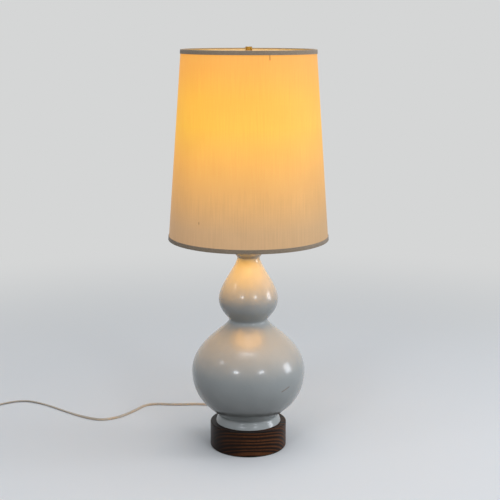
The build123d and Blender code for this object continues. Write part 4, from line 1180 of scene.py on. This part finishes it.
class LAMP_OT_stage(bpy.types.Operator):
    """Set the camera, the pale floor and the soft light"""

    bl_idname = "lamp.stage"
    bl_label = "Stage"

    def execute(self, context):
        sizes = context.scene.lamp_stage
        scene = context.scene
        scene.view_settings.view_transform = "Standard"
        lens = bpy.data.cameras.new("camera")
        lens.lens = sizes.camera_lens
        camera = stand_in_scene("camera", lens)
        camera.location = (0.0, -sizes.camera_distance, sizes.camera_height)
        aim = Matrix.Rotation(-sizes.camera_yaw, 3, "Z") @ Matrix.Rotation(
            math.pi / 2 - sizes.camera_pitch, 3, "X"
        )
        camera.rotation_euler = (aim @ Matrix.Rotation(sizes.camera_roll, 3, "Z")).to_euler()
        scene.camera = camera

        mesh = bpy.data.meshes.new("floor")
        sides = 64
        angles = [math.tau * i / sides for i in range(sides)]
        rim = [(sizes.floor_radius * math.cos(a), sizes.floor_radius * math.sin(a), 0.0) for a in angles]
        mesh.from_pydata(rim, [], [range(sides)])
        floor = stand_in_scene("floor", mesh)
        mesh.materials.append(pale_floor(sizes.pale))

        scene.world = soft_world(sizes.pale, sizes.ambient)
        # Two soft boxes before the lamp, one at its right, a small one at its left, and a strip above.
        for name, place, size, power in (
            ("front_left", (-0.74, -1.54, 1.00), (0.30, 0.18), 3.2),
            ("front_right", (0.80, -1.51, 1.00), (0.30, 0.18), 3.2),
            ("side_right", (1.80, -0.03, 0.62), (0.50, 0.60), 7.5),
            ("side_left", (-1.40, -0.52, 1.33), (0.20, 0.16), 0.9),
            ("strip", (-0.10, -0.74, 1.95), (0.70, 0.10), 1.4),
            ("overhead", (0.0, -0.4, 2.6), (1.6, 1.6), 12.0),
        ):
            box = hang_light(name, "RECTANGLE", place, size, power, "#f2f6ff")
            box.rotation_euler = (GOURD_MIDDLE - Vector(place)).to_track_quat("-Z", "Y").to_euler()
        # The light that falls out of the shade's open foot on to the gourd.
        place, wide = (0.0, 0.0, SHADE_LOW + 0.05), 1.8 * SHADE_WIDE
        glow = hang_light("foot_light", "DISK", place, (wide, wide), sizes.foot_light, "#ffb33e")
        # It leaves the floor out, so that no warm pool shows on it.
        spared = bpy.data.collections.new("spared_by_foot_light")
        spared.objects.link(floor)
        spared.collection_objects[0].light_linking.link_state = "EXCLUDE"
        glow.light_linking.receiver_collection = spared
        return {"FINISHED"}


def seen_directly(tree):
    """1 for what the camera sees, straight or through a gloss or glass, and 0 for light that bounces."""
    ray = add(tree, "ShaderNodeLightPath").outputs
    seen = calc(tree, "ADD", ray["Is Camera Ray"], ray["Is Glossy Ray"])
    return calc(tree, "ADD", seen, ray["Is Transmission Ray"], use_clamp=True)


def pale_floor(colour):
    """Plain pale floor to the camera and in reflections, a darker one to bounced light."""
    material = bpy.data.materials.new("Pale floor")
    material.use_nodes = True
    tree = material.node_tree
    tree.nodes.clear()
    near = add(tree, "ShaderNodeBsdfDiffuse", {"Color": linear("#eceded")})
    dark = add(tree, "ShaderNodeBsdfDiffuse", {"Color": linear("#3f3b38")})
    away = add(tree, "ShaderNodeEmission", {"Color": list(colour), "Strength": 1.0})
    place = own_place(tree)
    far = vector(tree, "LENGTH", place).outputs["Value"]
    blend = remap(tree, far, 0.5, 2.0, smooth=True)
    pale = add(tree, "ShaderNodeMixShader", {0: blend, 1: near, 2: away})
    both = add(tree, "ShaderNodeMixShader", {0: seen_directly(tree), 1: dark, 2: pale})
    add(tree, "ShaderNodeOutputMaterial", {0: both})
    return material


def soft_world(colour, ambient):
    """Even cool light from all round, seen as a pale background."""
    world = bpy.data.worlds.new("Soft surroundings")
    world.use_nodes = True
    tree = world.node_tree
    tree.nodes.clear()
    # The surroundings are brighter at the lamp's right.
    across = add(
        tree, "ShaderNodeSeparateXYZ", {0: add(tree, "ShaderNodeTexCoord").outputs["Generated"]}
    ).outputs["X"]
    level = calc(tree, "MULTIPLY_ADD", across, 0.75 * ambient, ambient)
    lit = add(tree, "ShaderNodeBackground", {"Color": linear("#e8edf2"), "Strength": level})
    pale = add(tree, "ShaderNodeBackground", {"Color": list(colour), "Strength": 1.0})
    both = add(tree, "ShaderNodeMixShader", {0: seen_directly(tree), 1: lit, 2: pale})
    add(tree, "ShaderNodeOutputWorld", {0: both})
    return world


class LAMP_PT_panel(bpy.types.Panel):
    """The lamp's sizes, finishes and pieces"""

    bl_idname = "LAMP_PT_panel"
    bl_label = "Double gourd lamp"
    bl_space_type = "VIEW_3D"
    bl_region_type = "UI"
    bl_category = "Lamp"

    def draw(self, context):
        scene = context.scene
        for title, group in (
            ("Gourd", scene.lamp_gourd),
            ("Shade", scene.lamp_shade),
            ("Cord", scene.lamp_cord),
            ("Finishes", scene.lamp_finishes),
            ("Stage", scene.lamp_stage),
        ):
            box = self.layout.box()
            box.label(text=title)
            for name in group.__annotations__:
                box.prop(group, name)
        column = self.layout.column()
        for operator in OPERATORS:
            column.operator(operator.bl_idname)


GROUPS = {
    "lamp_gourd": GourdSizes,
    "lamp_shade": ShadeSizes,
    "lamp_cord": CordSizes,
    "lamp_finishes": Finishes,
    "lamp_stage": StageSizes,
}
OPERATORS = (
    LAMP_OT_gourd,
    LAMP_OT_base,
    LAMP_OT_brasswork,
    LAMP_OT_socket,
    LAMP_OT_bulb,
    LAMP_OT_silk,
    LAMP_OT_shade_frame,
    LAMP_OT_trim,
    LAMP_OT_cord,
    LAMP_OT_plug,
    LAMP_OT_stage,
)


def register():
    """Makes the property groups, operators and panel known, and hangs the groups on the scene."""
    for kind in (*GROUPS.values(), *OPERATORS, LAMP_PT_panel):
        bpy.utils.register_class(kind)
    for name, kind in GROUPS.items():
        setattr(bpy.types.Scene, name, bpy.props.PointerProperty(type=kind))


def unregister():
    """Takes everything back again."""
    for name in GROUPS:
        delattr(bpy.types.Scene, name)
    for kind in (LAMP_PT_panel, *reversed(OPERATORS), *GROUPS.values()):
        bpy.utils.unregister_class(kind)


def main():
    register()
    for operator in OPERATORS:
        group, name = operator.bl_idname.split(".")
        getattr(getattr(bpy.ops, group), name)()


if __name__ == "__main__":
    main()
